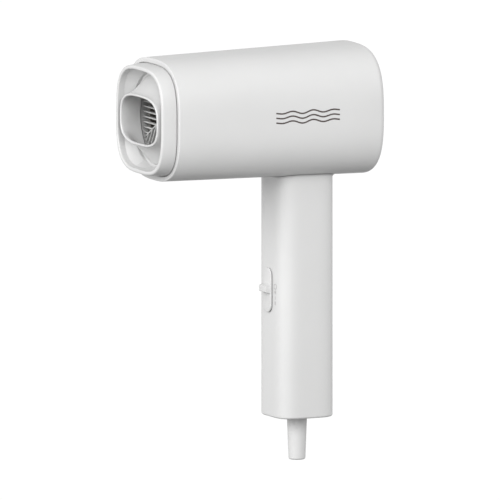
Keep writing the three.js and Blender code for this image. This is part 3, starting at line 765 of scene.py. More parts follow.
# %% The tree that grows the ribs
def rib_tree():
    sheet, given = started(
        "Sector ribs", floats=("Reach", "Rib pitch", "Rib width", "Rib depth"),
        ints=("Ribs per sector",),
    )
    section = sheet.add("GeometryNodeCurvePrimitiveQuadrilateral", named={
        "Width": given["Rib depth"], "Height": given["Rib width"],
    })
    section = sheet.add("GeometryNodeFilletCurve", section, mode="POLY", named={
        "Radius": sheet.times(given["Rib width"], 0.4), "Count": 3,
    })
    middle = sheet.add("GeometryNodeCurvePrimitiveLine", named={"End": (1.0, 0.0, 0.0)})
    bar = sheet.add("GeometryNodeCurveToMesh", middle, section, named={"Fill Caps": True})

    count = given["Ribs per sector"]
    first = sheet.times(sheet.minus(count, 1.0), sheet.times(given["Rib pitch"], -0.5))
    row = sheet.add("GeometryNodeMeshLine", named={
        "Count": count,
        "Start Location": sheet.add("ShaderNodeCombineXYZ", 0.0, 0.0, first),
        "Offset": sheet.add("ShaderNodeCombineXYZ", 0.0, 0.0, given["Rib pitch"]),
    })
    height = sheet.add("ShaderNodeSeparateXYZ", sheet.add("GeometryNodeInputPosition")).outputs["Z"]
    start = sheet.over(sheet.sum("ABSOLUTE", height), math.tan(math.pi / 6))
    end = sheet.sum("SQRT", sheet.minus(sheet.power(given["Reach"], 2.0), sheet.power(height, 2.0)))
    marked = sheet.add("GeometryNodeStoreNamedAttribute", row, data_type="FLOAT", domain="POINT", named={
        "Name": "length", "Value": sheet.minus(end, start),
    })
    shifted = sheet.add("GeometryNodeSetPosition", marked, named={
        "Offset": sheet.add("ShaderNodeCombineXYZ", start, 0.0, 0.0),
    })
    stored = sheet.add("GeometryNodeInputNamedAttribute", "length", data_type="FLOAT")
    ribs = sheet.add("GeometryNodeInstanceOnPoints", shifted, named={
        "Instance": bar,
        "Scale": sheet.add("ShaderNodeCombineXYZ", stored.outputs["Attribute"], 1.0, 1.0),
    })
    spoke = sheet.add("GeometryNodeTransform", bar)
    sheet.feed(spoke.inputs["Scale"], sheet.add("ShaderNodeCombineXYZ", given["Reach"], 1.0, 1.0))
    spoke.inputs["Rotation"].default_value = (0.0, math.pi / 6, 0.0)
    sector = sheet.add("GeometryNodeJoinGeometry", ribs)
    sheet.tree.links.new(spoke.outputs[0], sector.inputs[0])

    number = sheet.add("GeometryNodeInputIndex")
    turn = sheet.add("ShaderNodeCombineXYZ", 0.0, sheet.times(number, math.pi / 3), 0.0)
    all_round = sheet.add("GeometryNodeInstanceOnPoints", sheet.spots(6), named={
        "Instance": sector, "Rotation": turn,
    })
    return ended(sheet, given, all_round)


RIB_WIDTH = 0.85 * MM
RIB_PITCH = 3.15 * MM
RIB_DEPTH = 2.6 * MM
RIB_INTO_RIM = 0.5 * MM
RIB_SET_BACK = 0.4 * MM
RIM_INNER = 27.8 * MM

ribs = grown(
    "ribs", rib_tree(), Reach=RIM_INNER + RIB_INTO_RIM, Finish=outlet_grey,
    **{"Rib pitch": RIB_PITCH, "Rib width": RIB_WIDTH, "Rib depth": RIB_DEPTH, "Ribs per sector": 8},
)
ribs.transform(Matrix.Translation((0.0, grille_low.y + RIB_SET_BACK + RIB_DEPTH / 2, AXIS_Z)))


def joined(name, *meshes):
    """Several meshes as one."""
    shape = bmesh.new()
    for mesh in meshes:
        shape.from_mesh(mesh)
    result = meshed(name, shape)
    result.materials.append(meshes[0].materials[0])
    return result


def rim_mesh():
    soft = 0.35 * MM
    front, back, outer = grille_low.y, grille_high.y, grille_high.x
    return turned("grille_rim", [
        *arc(RIM_INNER + soft, front + soft, soft, 180, 270, 2.0, 4),
        *arc(outer - soft, front + soft, soft, -90, 0, 2.0, 4),
        Stop(outer, back), Stop(RIM_INNER, back),
    ], outlet_grey)


piece(
    "outlet_grille_ribs", joined("outlet_grille_ribs", rim_mesh(), ribs),
    "dryer", ["outlet_grille"],
)

# %% [markdown]
# ## Handle
#
# The handle is a straight squared tube. Its lower edge is rounded, and its upper end is cut to a saddle
# that follows the barrel's underside. Where it meets the barrel it swells by a hair into a small hollow
# fillet, so that the joint reads as a soft line. Each point near the top is lowered or raised by the
# barrel's own outline there, which needs no boolean.

# %% Handle sleeve
HANDLE_SQUARE = 4.0
HANDLE_WALL = 2.2 * MM
HANDLE_EDGE = 1.3 * MM
HANDLE_FILLET = 1.2 * MM
SADDLE_GAP = 0.25 * MM
SADDLE_REACH = 14.0 * MM


def underside(x, y):
    """Height of the barrel's underside above a point."""
    half = barrel_half(y)
    return AXIS_Z - half * (1 - min(abs(x) / half, 1.0) ** BARREL_SQUARE) ** (1 / BARREL_SQUARE)


def handle_mesh():
    sq, half, bottom = HANDLE_SQUARE, handle_high.x, handle_low.z
    bore, soft = half - HANDLE_WALL, 0.3 * MM
    top = underside(0.0, 0.0) - SADDLE_GAP
    mesh = turned("handle_sleeve", [
        Stop(bore, top, sq), Stop(bore, top - SADDLE_REACH, sq), Stop(bore, bottom + soft, sq),
        *arc(bore + soft, bottom + soft, soft, 180, 270, sq, 4),
        *arc(half - HANDLE_EDGE, bottom + HANDLE_EDGE, HANDLE_EDGE, -90, 0, sq, 8),
        Stop(half, mix(bottom, top, 0.5), sq),
        *[Stop(half, top - SADDLE_REACH + s * MM, sq) for s in range(0, 12, 3)],
        *reversed(arc(half + HANDLE_FILLET, top - HANDLE_FILLET, HANDLE_FILLET, 90, 180, sq, 7)),
    ], casing, upright=True)
    for point in mesh.vertices:
        share = max(0.0, 1 - (top - point.co.z) / SADDLE_REACH)
        lift = underside(point.co.x, point.co.y) - underside(0.0, 0.0)
        point.co.z += lift * ease(share)
    return mesh


piece("handle_sleeve", handle_mesh(), "dryer", ["handle_housing"])

# %% [markdown]
# ## Slide knob
#
# The knob is one moulding: a long plate with round ends, and a thumb ridge across it. The ridge's outline
# has hollow fillets at its foot and rounded corners on top, so the plate seems to rise into it. It is
# built as closed bodies, softened with a narrow bevel and united with a boolean. A stem runs from the plate
# through the handle's wall to the switch.

# %% Knob
KNOB_PLATE = 1.35 * MM
KNOB_SEAT = 0.4 * MM
RIDGE_HALF = 2.35 * MM
RIDGE_FOOT = 1.1 * MM
RIDGE_ROUND = 0.55 * MM
RIDGE_LEAN = 0.35 * MM
RIDGE_INSET = 0.45 * MM
RIDGE_RISE = 0.9 * MM
RIDGE_SUNK = 0.5 * MM
STEM_ROOT = 14.5 * MM
STEM_WIDE, STEM_TALL = 2.0 * MM, 2.5 * MM
STEM_SUNK = 0.4 * MM


def extruded(outline, depth):
    """A closed prism from an outline in XY, rising along Z by its depth."""
    shape = bmesh.new()
    face = shape.faces.new([shape.verts.new((x, y, 0.0)) for x, y in outline])
    swept = bmesh.ops.extrude_face_region(shape, geom=[face])["geom"]
    moved = [v for v in swept if isinstance(v, bmesh.types.BMVert)]
    bmesh.ops.translate(shape, verts=moved, vec=(0.0, 0.0, depth))
    bmesh.ops.recalc_face_normals(shape, faces=shape.faces)
    return outward(meshed("prism", shape))


def with_modifiers(mesh, *steps):
    """Applies modifiers, each a kind and its settings, and returns the plain mesh."""
    holder = bpy.data.objects.new("holder", mesh)
    link(holder)
    helpers = []
    for kind, settings in steps:
        modifier = holder.modifiers.new(kind, kind)
        for setting, value in settings.items():
            if isinstance(value, bpy.types.Mesh):
                value = bpy.data.objects.new("helper", value)
                link(value)
                helpers.append(value)
            setattr(modifier, setting, value)
    return settled(holder, *helpers)


def bevel(width, segments, degrees):
    """A rounding of every edge that is sharper than so many degrees."""
    return "BEVEL", {
        "width": width, "segments": segments, "limit_method": "ANGLE", "angle_limit": math.radians(degrees),
    }


def boolean(operation, tool):
    return "BOOLEAN", {"operation": operation, "solver": "EXACT", "object": tool}


def finished(mesh, finish):
    """The mesh with one finish all over."""
    mesh.materials.clear()
    mesh.materials.append(finish)
    return mesh


def round_outline(centre_x, centre_y, radius, start, end, steps=6):
    angles = [math.radians(start + (end - start) * i / steps) for i in range(steps + 1)]
    return [(centre_x + radius * math.cos(a), centre_y + radius * math.sin(a)) for a in angles]


def knob_mesh():
    half = knob_high.x
    length = knob_high.z - knob_low.z
    straight = length / 2 - half
    seat = handle_high.x + KNOB_SEAT
    face = handle_high.x + KNOB_PLATE
    crest = -knob_low.y
    middle = (knob_low.z + knob_high.z) / 2
    plate = extruded(
        round_outline(0, straight, half, 0, 180, 28) + round_outline(0, -straight, half, 180, 360, 28),
        face - seat,
    )
    plate.transform(Matrix(((1, 0, 0, 0), (0, 0, -1, -seat), (0, 1, 0, middle), (0, 0, 0, 1))))
    plate = with_modifiers(plate, bevel(0.3 * MM, 4, 60))
    foot = RIDGE_HALF + RIDGE_FOOT
    top = RIDGE_HALF - RIDGE_LEAN
    side = [
        *round_outline(foot, face + RIDGE_FOOT, RIDGE_FOOT, 270, 188, 7),
        *round_outline(top - RIDGE_ROUND, crest - RIDGE_ROUND, RIDGE_ROUND, 8, 90, 7),
    ]
    outline = [(foot, face - RIDGE_SUNK), *side]
    outline += [(-z, out) for z, out in reversed(outline)]
    ridge = extruded(outline, 2 * half - 2 * RIDGE_INSET)
    ridge.transform(Matrix((
        (0, 0, 1, -half + RIDGE_INSET), (0, -1, 0, 0), (1, 0, 0, middle + RIDGE_RISE), (0, 0, 0, 1),
    )))
    ridge = with_modifiers(outward(ridge), bevel(0.35 * MM, 4, 60))
    stem = extruded(
        [(-STEM_WIDE, -STEM_TALL), (STEM_WIDE, -STEM_TALL), (STEM_WIDE, STEM_TALL), (-STEM_WIDE, STEM_TALL)],
        seat + STEM_SUNK - STEM_ROOT,
    )
    stem.transform(Matrix(((1, 0, 0, 0), (0, 0, -1, -STEM_ROOT), (0, 1, 0, middle), (0, 0, 0, 1))))
    knob = with_modifiers(plate, boolean("UNION", ridge), boolean("UNION", outward(stem)))
    return finished(knob, casing)


piece("slide_knob_moulding", knob_mesh(), "switch", ["slide_knob"], crease=28)

# %% [markdown]
# ## Cord sleeve and bottom cap
#
# The cord leaves through a plain tapered sleeve with a rounded tip. A flush cap closes the handle round it.
# Two screws hold the cap; their heads sit in counterbores, which are cut with a boolean.

# %% Cord sleeve
CORD_BORE = 3.4 * MM
SLEEVE_ROOT = 6.1 * MM
SLEEVE_TIP = 5.1 * MM
TIP_ROUND = 1.2 * MM


def sleeve_mesh():
    tip, top, flange = relief_low.z, relief_high.z, relief_high.x
    flange_low = cap_high.z + FIT_GAP
    soft = 0.3 * MM
    return turned("cord_sleeve", [
        *arc(CORD_BORE + soft, tip + soft, soft, 180, 270, 2.0, 4),
        *arc(SLEEVE_TIP - TIP_ROUND, tip + TIP_ROUND, TIP_ROUND, -90, 0, 2.0, 8),
        Stop(mix(SLEEVE_TIP, SLEEVE_ROOT, 0.5), mix(tip + TIP_ROUND, handle_low.z, 0.5)),
        Stop(SLEEVE_ROOT, handle_low.z), Stop(SLEEVE_ROOT, flange_low),
        *arc(flange - soft, flange_low + soft, soft, -90, 0, 2.0, 3),
        *arc(flange - soft, top - soft, soft, 0, 90, 2.0, 3),
        Stop(CORD_BORE, top),
    ], sleeve_rubber, sides=96, upright=True)


piece("cord_sleeve", sleeve_mesh(), "dryer", ["strain_relief"])

# %% Bottom cap
CAP_SCREW_X = 11.5 * MM
COUNTERBORE = 3.2 * MM
COUNTERBORE_DEPTH = 1.9 * MM
SCREW_HOLE = 1.8 * MM


def disc(name, stops, finish, sides=SIDES, upright=False):
    """A solid moulding, open neither at the middle of its front nor of its back."""
    first, last = stops[0], stops[-1]
    closed = [Stop(0.0, first.along, first.square), *stops, Stop(0.0, last.along, last.square)]
    mesh = turned(name, closed, finish, sides, upright)
    shape = welded(mesh)
    loose = [e for e in shape.edges if not e.link_faces]
    bmesh.ops.delete(shape, geom=loose, context="EDGES")
    shape.to_mesh(mesh)
    shape.free()
    return mesh


def less(mesh, *tools):
    """Cuts tools from a mesh and keeps its material."""
    finish = mesh.materials[0]
    return finished(with_modifiers(mesh, *[boolean("DIFFERENCE", tool) for tool in tools]), finish)


def plug(radius, low, high, x=0.0, y=0.0):
    """A round punch along Z."""
    mesh = disc("plug", [Stop(radius, low), Stop(radius, high)], casing, sides=48, upright=True)
    mesh.transform(Matrix.Translation((x, y, 0.0)))
    return mesh


def cap_mesh():
    sq, low, high, half = HANDLE_SQUARE, cap_low.z, cap_high.z, cap_high.x
    soft = 0.4 * MM
    plate = turned("cap", [
        *arc(SLEEVE_ROOT + FIT_GAP + soft, low + soft, soft, 180, 270, 2.0, 4),
        *arc(half - soft, low + soft, soft, -90, 0, sq, 5),
        Stop(half, high, sq), Stop(SLEEVE_ROOT + FIT_GAP, high),
    ], casing, upright=True)
    punches = []
    for x in (-CAP_SCREW_X, CAP_SCREW_X):
        punches.append(plug(SCREW_HOLE, low - MM, high + MM, x))
        punches.append(plug(COUNTERBORE, low - MM, low + COUNTERBORE_DEPTH, x))
    return less(plate, *punches)


piece("bottom_cap_moulding", cap_mesh(), "dryer", ["bottom_cap"])

# %% [markdown]
# ## Screws
#
# Three pairs of plated self-tapping screws hold the handle, the cap and the cord clamp. A screw is a spun
# blank with a cross cut into its head, and the tree winds a thread round its shank as a swept spiral
# and then sets the pair side by side.

# %% The tree that threads a screw and pairs it
THREAD_RIDGE = 0.36
THREAD_DROP = 1.12


def screw_pair_tree():
    sheet, given = started(
        "Screw pair", floats=("Spacing", "Thread length", "Thread radius", "Thread pitch"), shape=True,
    )
    winding = sheet.add("GeometryNodeCurveSpiral", named={
        "Resolution": 20,
        "Rotations": sheet.over(given["Thread length"], given["Thread pitch"]),
        "Start Radius": given["Thread radius"], "End Radius": given["Thread radius"],
        "Height": given["Thread length"],
    })
    thread = sheet.swept(winding, 3, sheet.times(given["Thread pitch"], THREAD_RIDGE))
    lowered = sheet.add("GeometryNodeTransform", thread, named={"Translation": sheet.add(
        "ShaderNodeCombineXYZ", 0.0, 0.0, sheet.times(given["Thread length"], -THREAD_DROP),
    )})
    whole = sheet.add("GeometryNodeJoinGeometry", given["Geometry"])
    sheet.tree.links.new(lowered.outputs[0], whole.inputs[0])
    pair = sheet.add("GeometryNodeMeshLine", named={
        "Count": 2,
        "Start Location": sheet.add(
            "ShaderNodeCombineXYZ", sheet.times(given["Spacing"], -0.5), 0.0, 0.0,
        ),
        "Offset": sheet.add("ShaderNodeCombineXYZ", given["Spacing"], 0.0, 0.0),
    })
    both = sheet.add("GeometryNodeInstanceOnPoints", pair, named={"Instance": whole})
    return ended(sheet, given, both)


SCREW_PAIR = screw_pair_tree()


HEAD_RISE = 1.6 * MM
HEAD_EDGE = 0.35 * MM
HEAD_ROUND = 1.1 * MM
TIP_LENGTH = 1.6 * MM
SHANK_SHARE = 0.72
TIP_SHARE = 0.25
PITCH_SHARE = 0.62
THREAD_SHORTER = 2.2 * MM
CROSS_DEPTH, CROSS_OVER = 1.0 * MM, 0.5 * MM
CROSS_FOOT, CROSS_REACH = 0.55 * MM, 1.55 * MM
CROSS_FLATNESS = 0.24


def screw_blank(length, radius, head):
    """A pan-head blank along Z: the underside of its head is at the origin and its tip points down."""
    shank = radius * SHANK_SHARE
    blank = disc("screw", [
        Stop(radius * TIP_SHARE, -length), Stop(shank, -length + TIP_LENGTH), Stop(shank, 0.0),
        Stop(head, 0.0), Stop(head, HEAD_EDGE),
        *arc(head - HEAD_ROUND, HEAD_EDGE, HEAD_ROUND, 0, 75, 2.0, 6), Stop(head * 0.3, HEAD_RISE),
    ], plated_steel, sides=48, upright=True)
    arms = []
    for turn in (0, 90):
        arm = disc("arm", [
            Stop(CROSS_FOOT, HEAD_RISE - CROSS_DEPTH), Stop(CROSS_REACH, HEAD_RISE + CROSS_OVER),
        ], plated_steel, sides=24, upright=True)
        arm.transform(Matrix.Diagonal((1.0, CROSS_FLATNESS, 1.0, 1.0)))
        arm.transform(Matrix.Rotation(math.radians(turn), 4, "Z"))
        arms.append(arm)
    return less(blank, *arms)


def screw_pair(name, length, radius, head, spacing, place, turn, nodes):
    mesh = grown(
        name, SCREW_PAIR, screw_blank(length, radius, head), Spacing=spacing, Finish=plated_steel,
        **{"Thread length": length - THREAD_SHORTER, "Thread radius": radius * SHANK_SHARE,
           "Thread pitch": radius * PITCH_SHARE},
    )
    mesh.transform(Matrix.Translation(place) @ turn)
    piece(name, mesh, "dryer", nodes)


def pair_names(stem):
    return [f"{stem}_left", f"{stem}_right"]


def seat_of(stem):
    """Box of a pair of screws."""
    low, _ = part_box(f"{stem}_left")
    _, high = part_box(f"{stem}_right")
    return low, high, (low + high) / 2


neck_low, neck_high, neck_mid = seat_of("neck_screw")
cap_screw_low, cap_screw_high, cap_screw_mid = seat_of("cap_screw")
clamp_low, clamp_high, clamp_mid = seat_of("clamp_screw")
NECK_HEAD, CLAMP_HEAD = 2.9 * MM, 2.4 * MM
NECK_RADIUS, CLAMP_RADIUS = 1.5 * MM, 1.2 * MM
NECK_LENGTH, CAP_LENGTH, CLAMP_LENGTH = 17 * MM, 9 * MM, 11 * MM
screw_pair(
    "neck_screws", NECK_LENGTH, NECK_RADIUS, NECK_HEAD, neck_high.x - neck_low.x - 2 * NECK_HEAD,
    (0.0, neck_mid.y, neck_high.z - HEAD_RISE), Matrix.Identity(4), pair_names("neck_screw"),
)
screw_pair(
    "cap_screws", CAP_LENGTH, NECK_RADIUS, NECK_HEAD,
    cap_screw_high.x - cap_screw_low.x - 2 * NECK_HEAD,
    (0.0, cap_screw_mid.y, cap_screw_low.z + HEAD_RISE), Matrix.Rotation(math.pi, 4, "X"),
    pair_names("cap_screw"),
)
screw_pair(
    "clamp_screws", CLAMP_LENGTH, CLAMP_RADIUS, CLAMP_HEAD, clamp_high.x - clamp_low.x - 2 * CLAMP_HEAD,
    (0.0, clamp_low.y + HEAD_RISE, clamp_mid.z), Matrix.Rotation(math.pi / 2, 4, "X"),
    pair_names("clamp_screw"),
)

# %% [markdown]
# ## Rear cover
#
# The intake cover continues the barrel's dome and carries rings of small chamfered holes. Ring k holds 6k
# holes, so a hole's ring and angle both follow from its number. The tree works that out, puts one punch
# at each place on the dome, and a boolean cuts them all out.

# %% The tree that sets out the punches
def punch_tree():
    sheet, given = started(
        "Ring punches", floats=("Ring pitch", "Dome height", "Dome half width"), ints=("Holes",),
        shape=True,
    )
    number = sheet.add("GeometryNodeInputIndex")
    root = sheet.sum("SQRT", sheet.sum("MAXIMUM", sheet.minus(sheet.times(number, 12.0), 3.0), 0.0))
    ring = sheet.sum("FLOOR", sheet.plus(sheet.over(sheet.plus(root, 3.0), 6.0), 1e-4))
    ring = sheet.times(ring, sheet.sum("GREATER_THAN", number, 0.5))
    before = sheet.times(sheet.times(ring, 3.0), sheet.minus(ring, 1.0))
    in_ring = sheet.minus(sheet.minus(number, 1.0), before)
    angle = sheet.over(sheet.times(in_ring, math.pi / 3), sheet.sum("MAXIMUM", ring, 1.0))
    out = sheet.times(ring, given["Ring pitch"])
    drop = sheet.power(sheet.over(out, given["Dome half width"]), 2.0)
    place = sheet.add(
        "ShaderNodeCombineXYZ",
        sheet.times(out, sheet.sum("COSINE", angle)),
        sheet.times(sheet.times(drop, -1.0), given["Dome height"]),
        sheet.times(out, sheet.sum("SINE", angle)),
    )
    placed = sheet.placed(sheet.spots(given["Holes"]), place)
    copies = sheet.add("GeometryNodeInstanceOnPoints", placed, named={"Instance": given["Geometry"]})
    return ended(sheet, given, copies)


HOLE_PITCH = 4.9 * MM
HOLE_RADIUS = 1.5 * MM
HOLE_COUNT = 61
CHAMFER_DEPTH = 0.25 * MM
PUNCH_DEPTH = 5 * MM
COVER_WALL = 2.0 * MM
COVER_SKIRT = 1.6 * MM

punch = disc("punch", [
    Stop(HOLE_RADIUS, -PUNCH_DEPTH), Stop(HOLE_RADIUS, -CHAMFER_DEPTH),
    Stop(HOLE_RADIUS + MM + CHAMFER_DEPTH, MM),
], casing, sides=28)
punch.transform(Matrix.Translation((0.0, 0.0, -AXIS_Z)))
punches = grown(
    "punches", punch_tree(), punch, Holes=HOLE_COUNT, Finish=casing,
    **{"Ring pitch": HOLE_PITCH, "Dome height": REAR_BULGE, "Dome half width": rim_half},
)
punches.transform(Matrix.Translation((0.0, rear_face(0.0), AXIS_Z)))


def cover_mesh():
    sq, half, front = BARREL_SQUARE, cover_high.x, cover_low.y
    soft = 0.4 * MM
    widths = [half * share for share in (0.15, 0.3, 0.45, 0.6, 0.75, 0.9)]
    dome = [Stop(w, rear_face(w), sq) for w in widths]
    inside = [Stop(w, rear_face(w) - COVER_WALL, sq) for w in reversed(widths)]
    return disc("cover", [
        *dome, *arc(half - soft, rear_face(half) - soft, soft, 85, 0, sq, 5),
        Stop(half, front, sq), Stop(half - COVER_SKIRT, front, sq),
        Stop(half - COVER_SKIRT, rear_face(half) - COVER_WALL, sq), *inside,
    ], casing)


piece(
    "rear_cover_moulding", less(cover_mesh(), punches), "rear_cover", ["rear_grille"], crease=30,
)

# %% [markdown]
# ## Intake filter
#
# Behind the cover lies a woven nylon mesh in a thin rim. Its wires follow one rule: they stand at an even
# pitch, and each is as long as the squared outline lets it be. A tree grows one set, and the same tree
# runs again, turned by a quarter, for the wires that cross it.

# %% The tree that strings the wires
def weave_tree():
    sheet, given = started(
        "Filter wires", floats=("Half width", "Squareness", "Wire radius"), ints=("Wires",),
    )
    half, square = given["Half width"], given["Squareness"]
    place = sheet.over(sheet.plus(sheet.add("GeometryNodeInputIndex"), 0.5), given["Wires"])
    share = sheet.minus(sheet.times(place, 2.0), 1.0)
    reach = sheet.power(
        sheet.minus(1.0, sheet.power(sheet.sum("ABSOLUTE", share), square)), sheet.over(1.0, square),
    )
    row = sheet.spots(given["Wires"])
    marked = sheet.add("GeometryNodeStoreNamedAttribute", row, data_type="FLOAT", domain="POINT", named={
        "Name": "reach", "Value": sheet.times(reach, half),
    })
    placed = sheet.placed(marked, sheet.add(
        "ShaderNodeCombineXYZ", 0.0, 0.0, sheet.times(share, half),
    ))
    line = sheet.add("GeometryNodeCurvePrimitiveLine", named={
        "Start": (-1.0, 0.0, 0.0), "End": (1.0, 0.0, 0.0),
    })
    wire = sheet.swept(line, 6, given["Wire radius"])
    stored = sheet.add("GeometryNodeInputNamedAttribute", "reach", data_type="FLOAT")
    wires = sheet.add("GeometryNodeInstanceOnPoints", placed, named={
        "Instance": wire,
        "Scale": sheet.add("ShaderNodeCombineXYZ", stored.outputs["Attribute"], 1.0, 1.0),
    })
    return ended(sheet, given, wires)


WEAVE = weave_tree()
WEAVE_SHIFT = 0.14 * MM
FILTER_WIRE = 0.15 * MM
FILTER_RIM = 1.4 * MM
WIRE_INSET = 0.8 * MM
WIRE_COUNT = 46
filter_half = filter_high.x
filter_mid = (filter_low.y + filter_high.y) / 2
wire_sets = []
for turn, shift in ((0.0, -WEAVE_SHIFT), (math.pi / 2, WEAVE_SHIFT)):
    wires = grown(
        "wires", WEAVE, Squareness=BARREL_SQUARE, Wires=WIRE_COUNT, Finish=filter_black,
        **{"Half width": filter_half - WIRE_INSET, "Wire radius": FILTER_WIRE},
    )
    wires.transform(
        Matrix.Translation((0.0, filter_mid + shift, AXIS_Z)) @ Matrix.Rotation(turn, 4, "Y")
    )
    wire_sets.append(wires)
filter_rim = turned("filter_rim", [
    Stop(half, along, BARREL_SQUARE) for half, along in (
        (filter_half, filter_low.y), (filter_half, filter_high.y),
        (filter_half - FILTER_RIM, filter_high.y), (filter_half - FILTER_RIM, filter_low.y),
    )
], filter_black, sides=96)
piece(
    "intake_filter_weave", joined("intake_filter_weave", filter_rim, *wire_sets),
    "rear_cover", ["intake_filter"],
)

# %% [markdown]
# ## Printed marks
#
# The prints are thin films of ink: a mark of three waves on the barrel's side, and the four settings beside
# the knob. Each stroke starts as a flat ribbon in a drawing plane. A tree then lays the ribbon on the
# squared tube it belongs to, since the height of the tube's surface follows from its half width and its
# squareness.

# %% The tree that lays ink on a squared tube
def ink_tree():
    sheet, given = started(
        "Ink on a squared tube", floats=("Half width", "Taper", "Squareness"), shape=True,
    )
    point = sheet.add("ShaderNodeSeparateXYZ", sheet.add("GeometryNodeInputPosition")).outputs
    half = sheet.minus(given["Half width"], sheet.times(point["Z"], given["Taper"]))
    share = sheet.over(sheet.sum("ABSOLUTE", point["X"]), half)
    rest = sheet.minus(1.0, sheet.power(share, given["Squareness"]))
    height = sheet.times(half, sheet.power(rest, sheet.over(1.0, given["Squareness"])))
    laid = sheet.placed(given["Geometry"], sheet.add(
        "ShaderNodeCombineXYZ", point["X"], sheet.minus(point["Y"], height), point["Z"],
    ))
    return ended(sheet, given, laid)


INK = ink_tree()
INK_FILM = 0.03 * MM


def ribbon(shape, route, width, closed=False):
    """Adds a flat stroke along points (x, z), as thick as a film of ink, with square ends."""
    count = len(route)
    rows = []
    for i, (x, z) in enumerate(route):
        before = route[(i - 1) % count] if closed or i else route[0]
        after = route[(i + 1) % count] if closed or i < count - 1 else route[-1]
        way = Vector((after[0] - before[0], after[1] - before[1])).normalized() * (width / 2)
        rows.append([
            shape.verts.new((x + side * way.y, depth, z - side * way.x))
            for side, depth in ((1, -INK_FILM), (-1, -INK_FILM), (-1, INK_FILM), (1, INK_FILM))
        ])
    for i in range(count if closed else count - 1):
        here, after = rows[i], rows[(i + 1) % count]
        for k in range(4):
            shape.faces.new((here[k], here[(k + 1) % 4], after[(k + 1) % 4], after[k]))
    if not closed:
        shape.faces.new(rows[0][::-1])
        shape.faces.new(rows[-1])


def line(start, end, steps=8):
    return [
        (mix(start[0], end[0], i / steps), mix(start[1], end[1], i / steps)) for i in range(steps + 1)
    ]


def ring(x, z, radius, steps=28):
    return round_outline(x, z, radius, 0, 360 - 360 / steps, steps - 1)


def drawing(strokes):
    """A mesh of strokes: each is a route, its width, and whether it closes on itself."""
    shape = bmesh.new()
    for route, width, closed in strokes:
        ribbon(shape, route, width, closed)
    bmesh.ops.recalc_face_normals(shape, faces=shape.faces)
    return meshed("strokes", shape)


# %% Settings beside the knob
mark_ink = moulded("mark_ink_grey", (0.27, 0.26, 0.26), 0.5)
MARK_X = 8.4 * MM
OFF_RADIUS = 1.7 * MM
MARK_RADIUS = 1.35 * MM
MARK_STROKE = 0.38 * MM
BAR_HALF = 1.1 * MM
BAR_GAP = 0.9 * MM
MARK_HEIGHTS = {"off": -104.9 * MM, "cool": -108.3 * MM, "low": -111.7 * MM, "high": -114.9 * MM}

off_ring = ring(MARK_X, AXIS_Z + MARK_HEIGHTS["off"], OFF_RADIUS - MARK_STROKE / 2)
mark_strokes = [(off_ring, MARK_STROKE, True)]
cool_z = AXIS_Z + MARK_HEIGHTS["cool"]
for degrees in (30, 90, 150):
    reach = Vector((math.cos(math.radians(degrees)), math.sin(math.radians(degrees)))) * MARK_RADIUS
    mark_strokes.append((
        line((MARK_X - reach.x, cool_z - reach.y), (MARK_X + reach.x, cool_z + reach.y)),
        MARK_STROKE * 0.8, False,
    ))
for label, places in (("low", (0.0,)), ("high", (-BAR_GAP / 2, BAR_GAP / 2))):
    middle = AXIS_Z + MARK_HEIGHTS[label]
    mark_strokes += [
        (line((MARK_X + x, middle - BAR_HALF), (MARK_X + x, middle + BAR_HALF)), MARK_STROKE, False)
        for x in places
    ]
piece(
    "switch_marks",
    grown("marks", INK, drawing(mark_strokes), Taper=0.0, Squareness=HANDLE_SQUARE, Finish=mark_ink,
          **{"Half width": handle_high.x}),
    "dryer",
)

# %% Wave mark on the barrel
emblem_ink = moulded("emblem_ink_brown", (0.045, 0.032, 0.028), 0.42)
WAVE_LENGTH = 42.0 * MM
WAVE_HEIGHT = 0.9 * MM
WAVE_STROKE = 0.9 * MM
WAVE_PITCH = 2.9 * MM
WAVE_CRESTS = 3
WAVE_COUNT = 3
EMBLEM_Y = -11.0 * MM
EMBLEM_Z = 1.5 * MM


def wave(level, steps=120):
    """One wave: its swing fades to nothing at both ends."""
    route = []
    for i in range(steps + 1):
        share = i / steps
        swing = WAVE_HEIGHT * math.sin(math.pi * share) ** 0.5
        height = level + swing * math.sin(2 * math.pi * WAVE_CRESTS * share)
        route.append((height, mix(-0.5, 0.5, share) * WAVE_LENGTH - EMBLEM_Y))
    return route


emblem = grown(
    "emblem", INK,
    drawing([
        (wave(EMBLEM_Z + (k - (WAVE_COUNT - 1) / 2) * WAVE_PITCH), WAVE_STROKE, False)
        for k in range(WAVE_COUNT)
    ]),
    Taper=BARREL_TAPER, Squareness=BARREL_SQUARE, Finish=emblem_ink,
    **{"Half width": barrel_half(0.0)},
)
emblem.transform(Matrix(((0, -1, 0, 0), (0, 0, -1, 0), (1, 0, 0, AXIS_Z), (0, 0, 0, 1))))
piece("barrel_wave_mark", emblem, "dryer")

# %% [markdown]
# ## Heater
#
# The heating wire is a coil of fine wire that is wound again, in wide turns, round the mica boards. Its
# centre line is a coil on a coil, which one tree works out from the length along the wire.

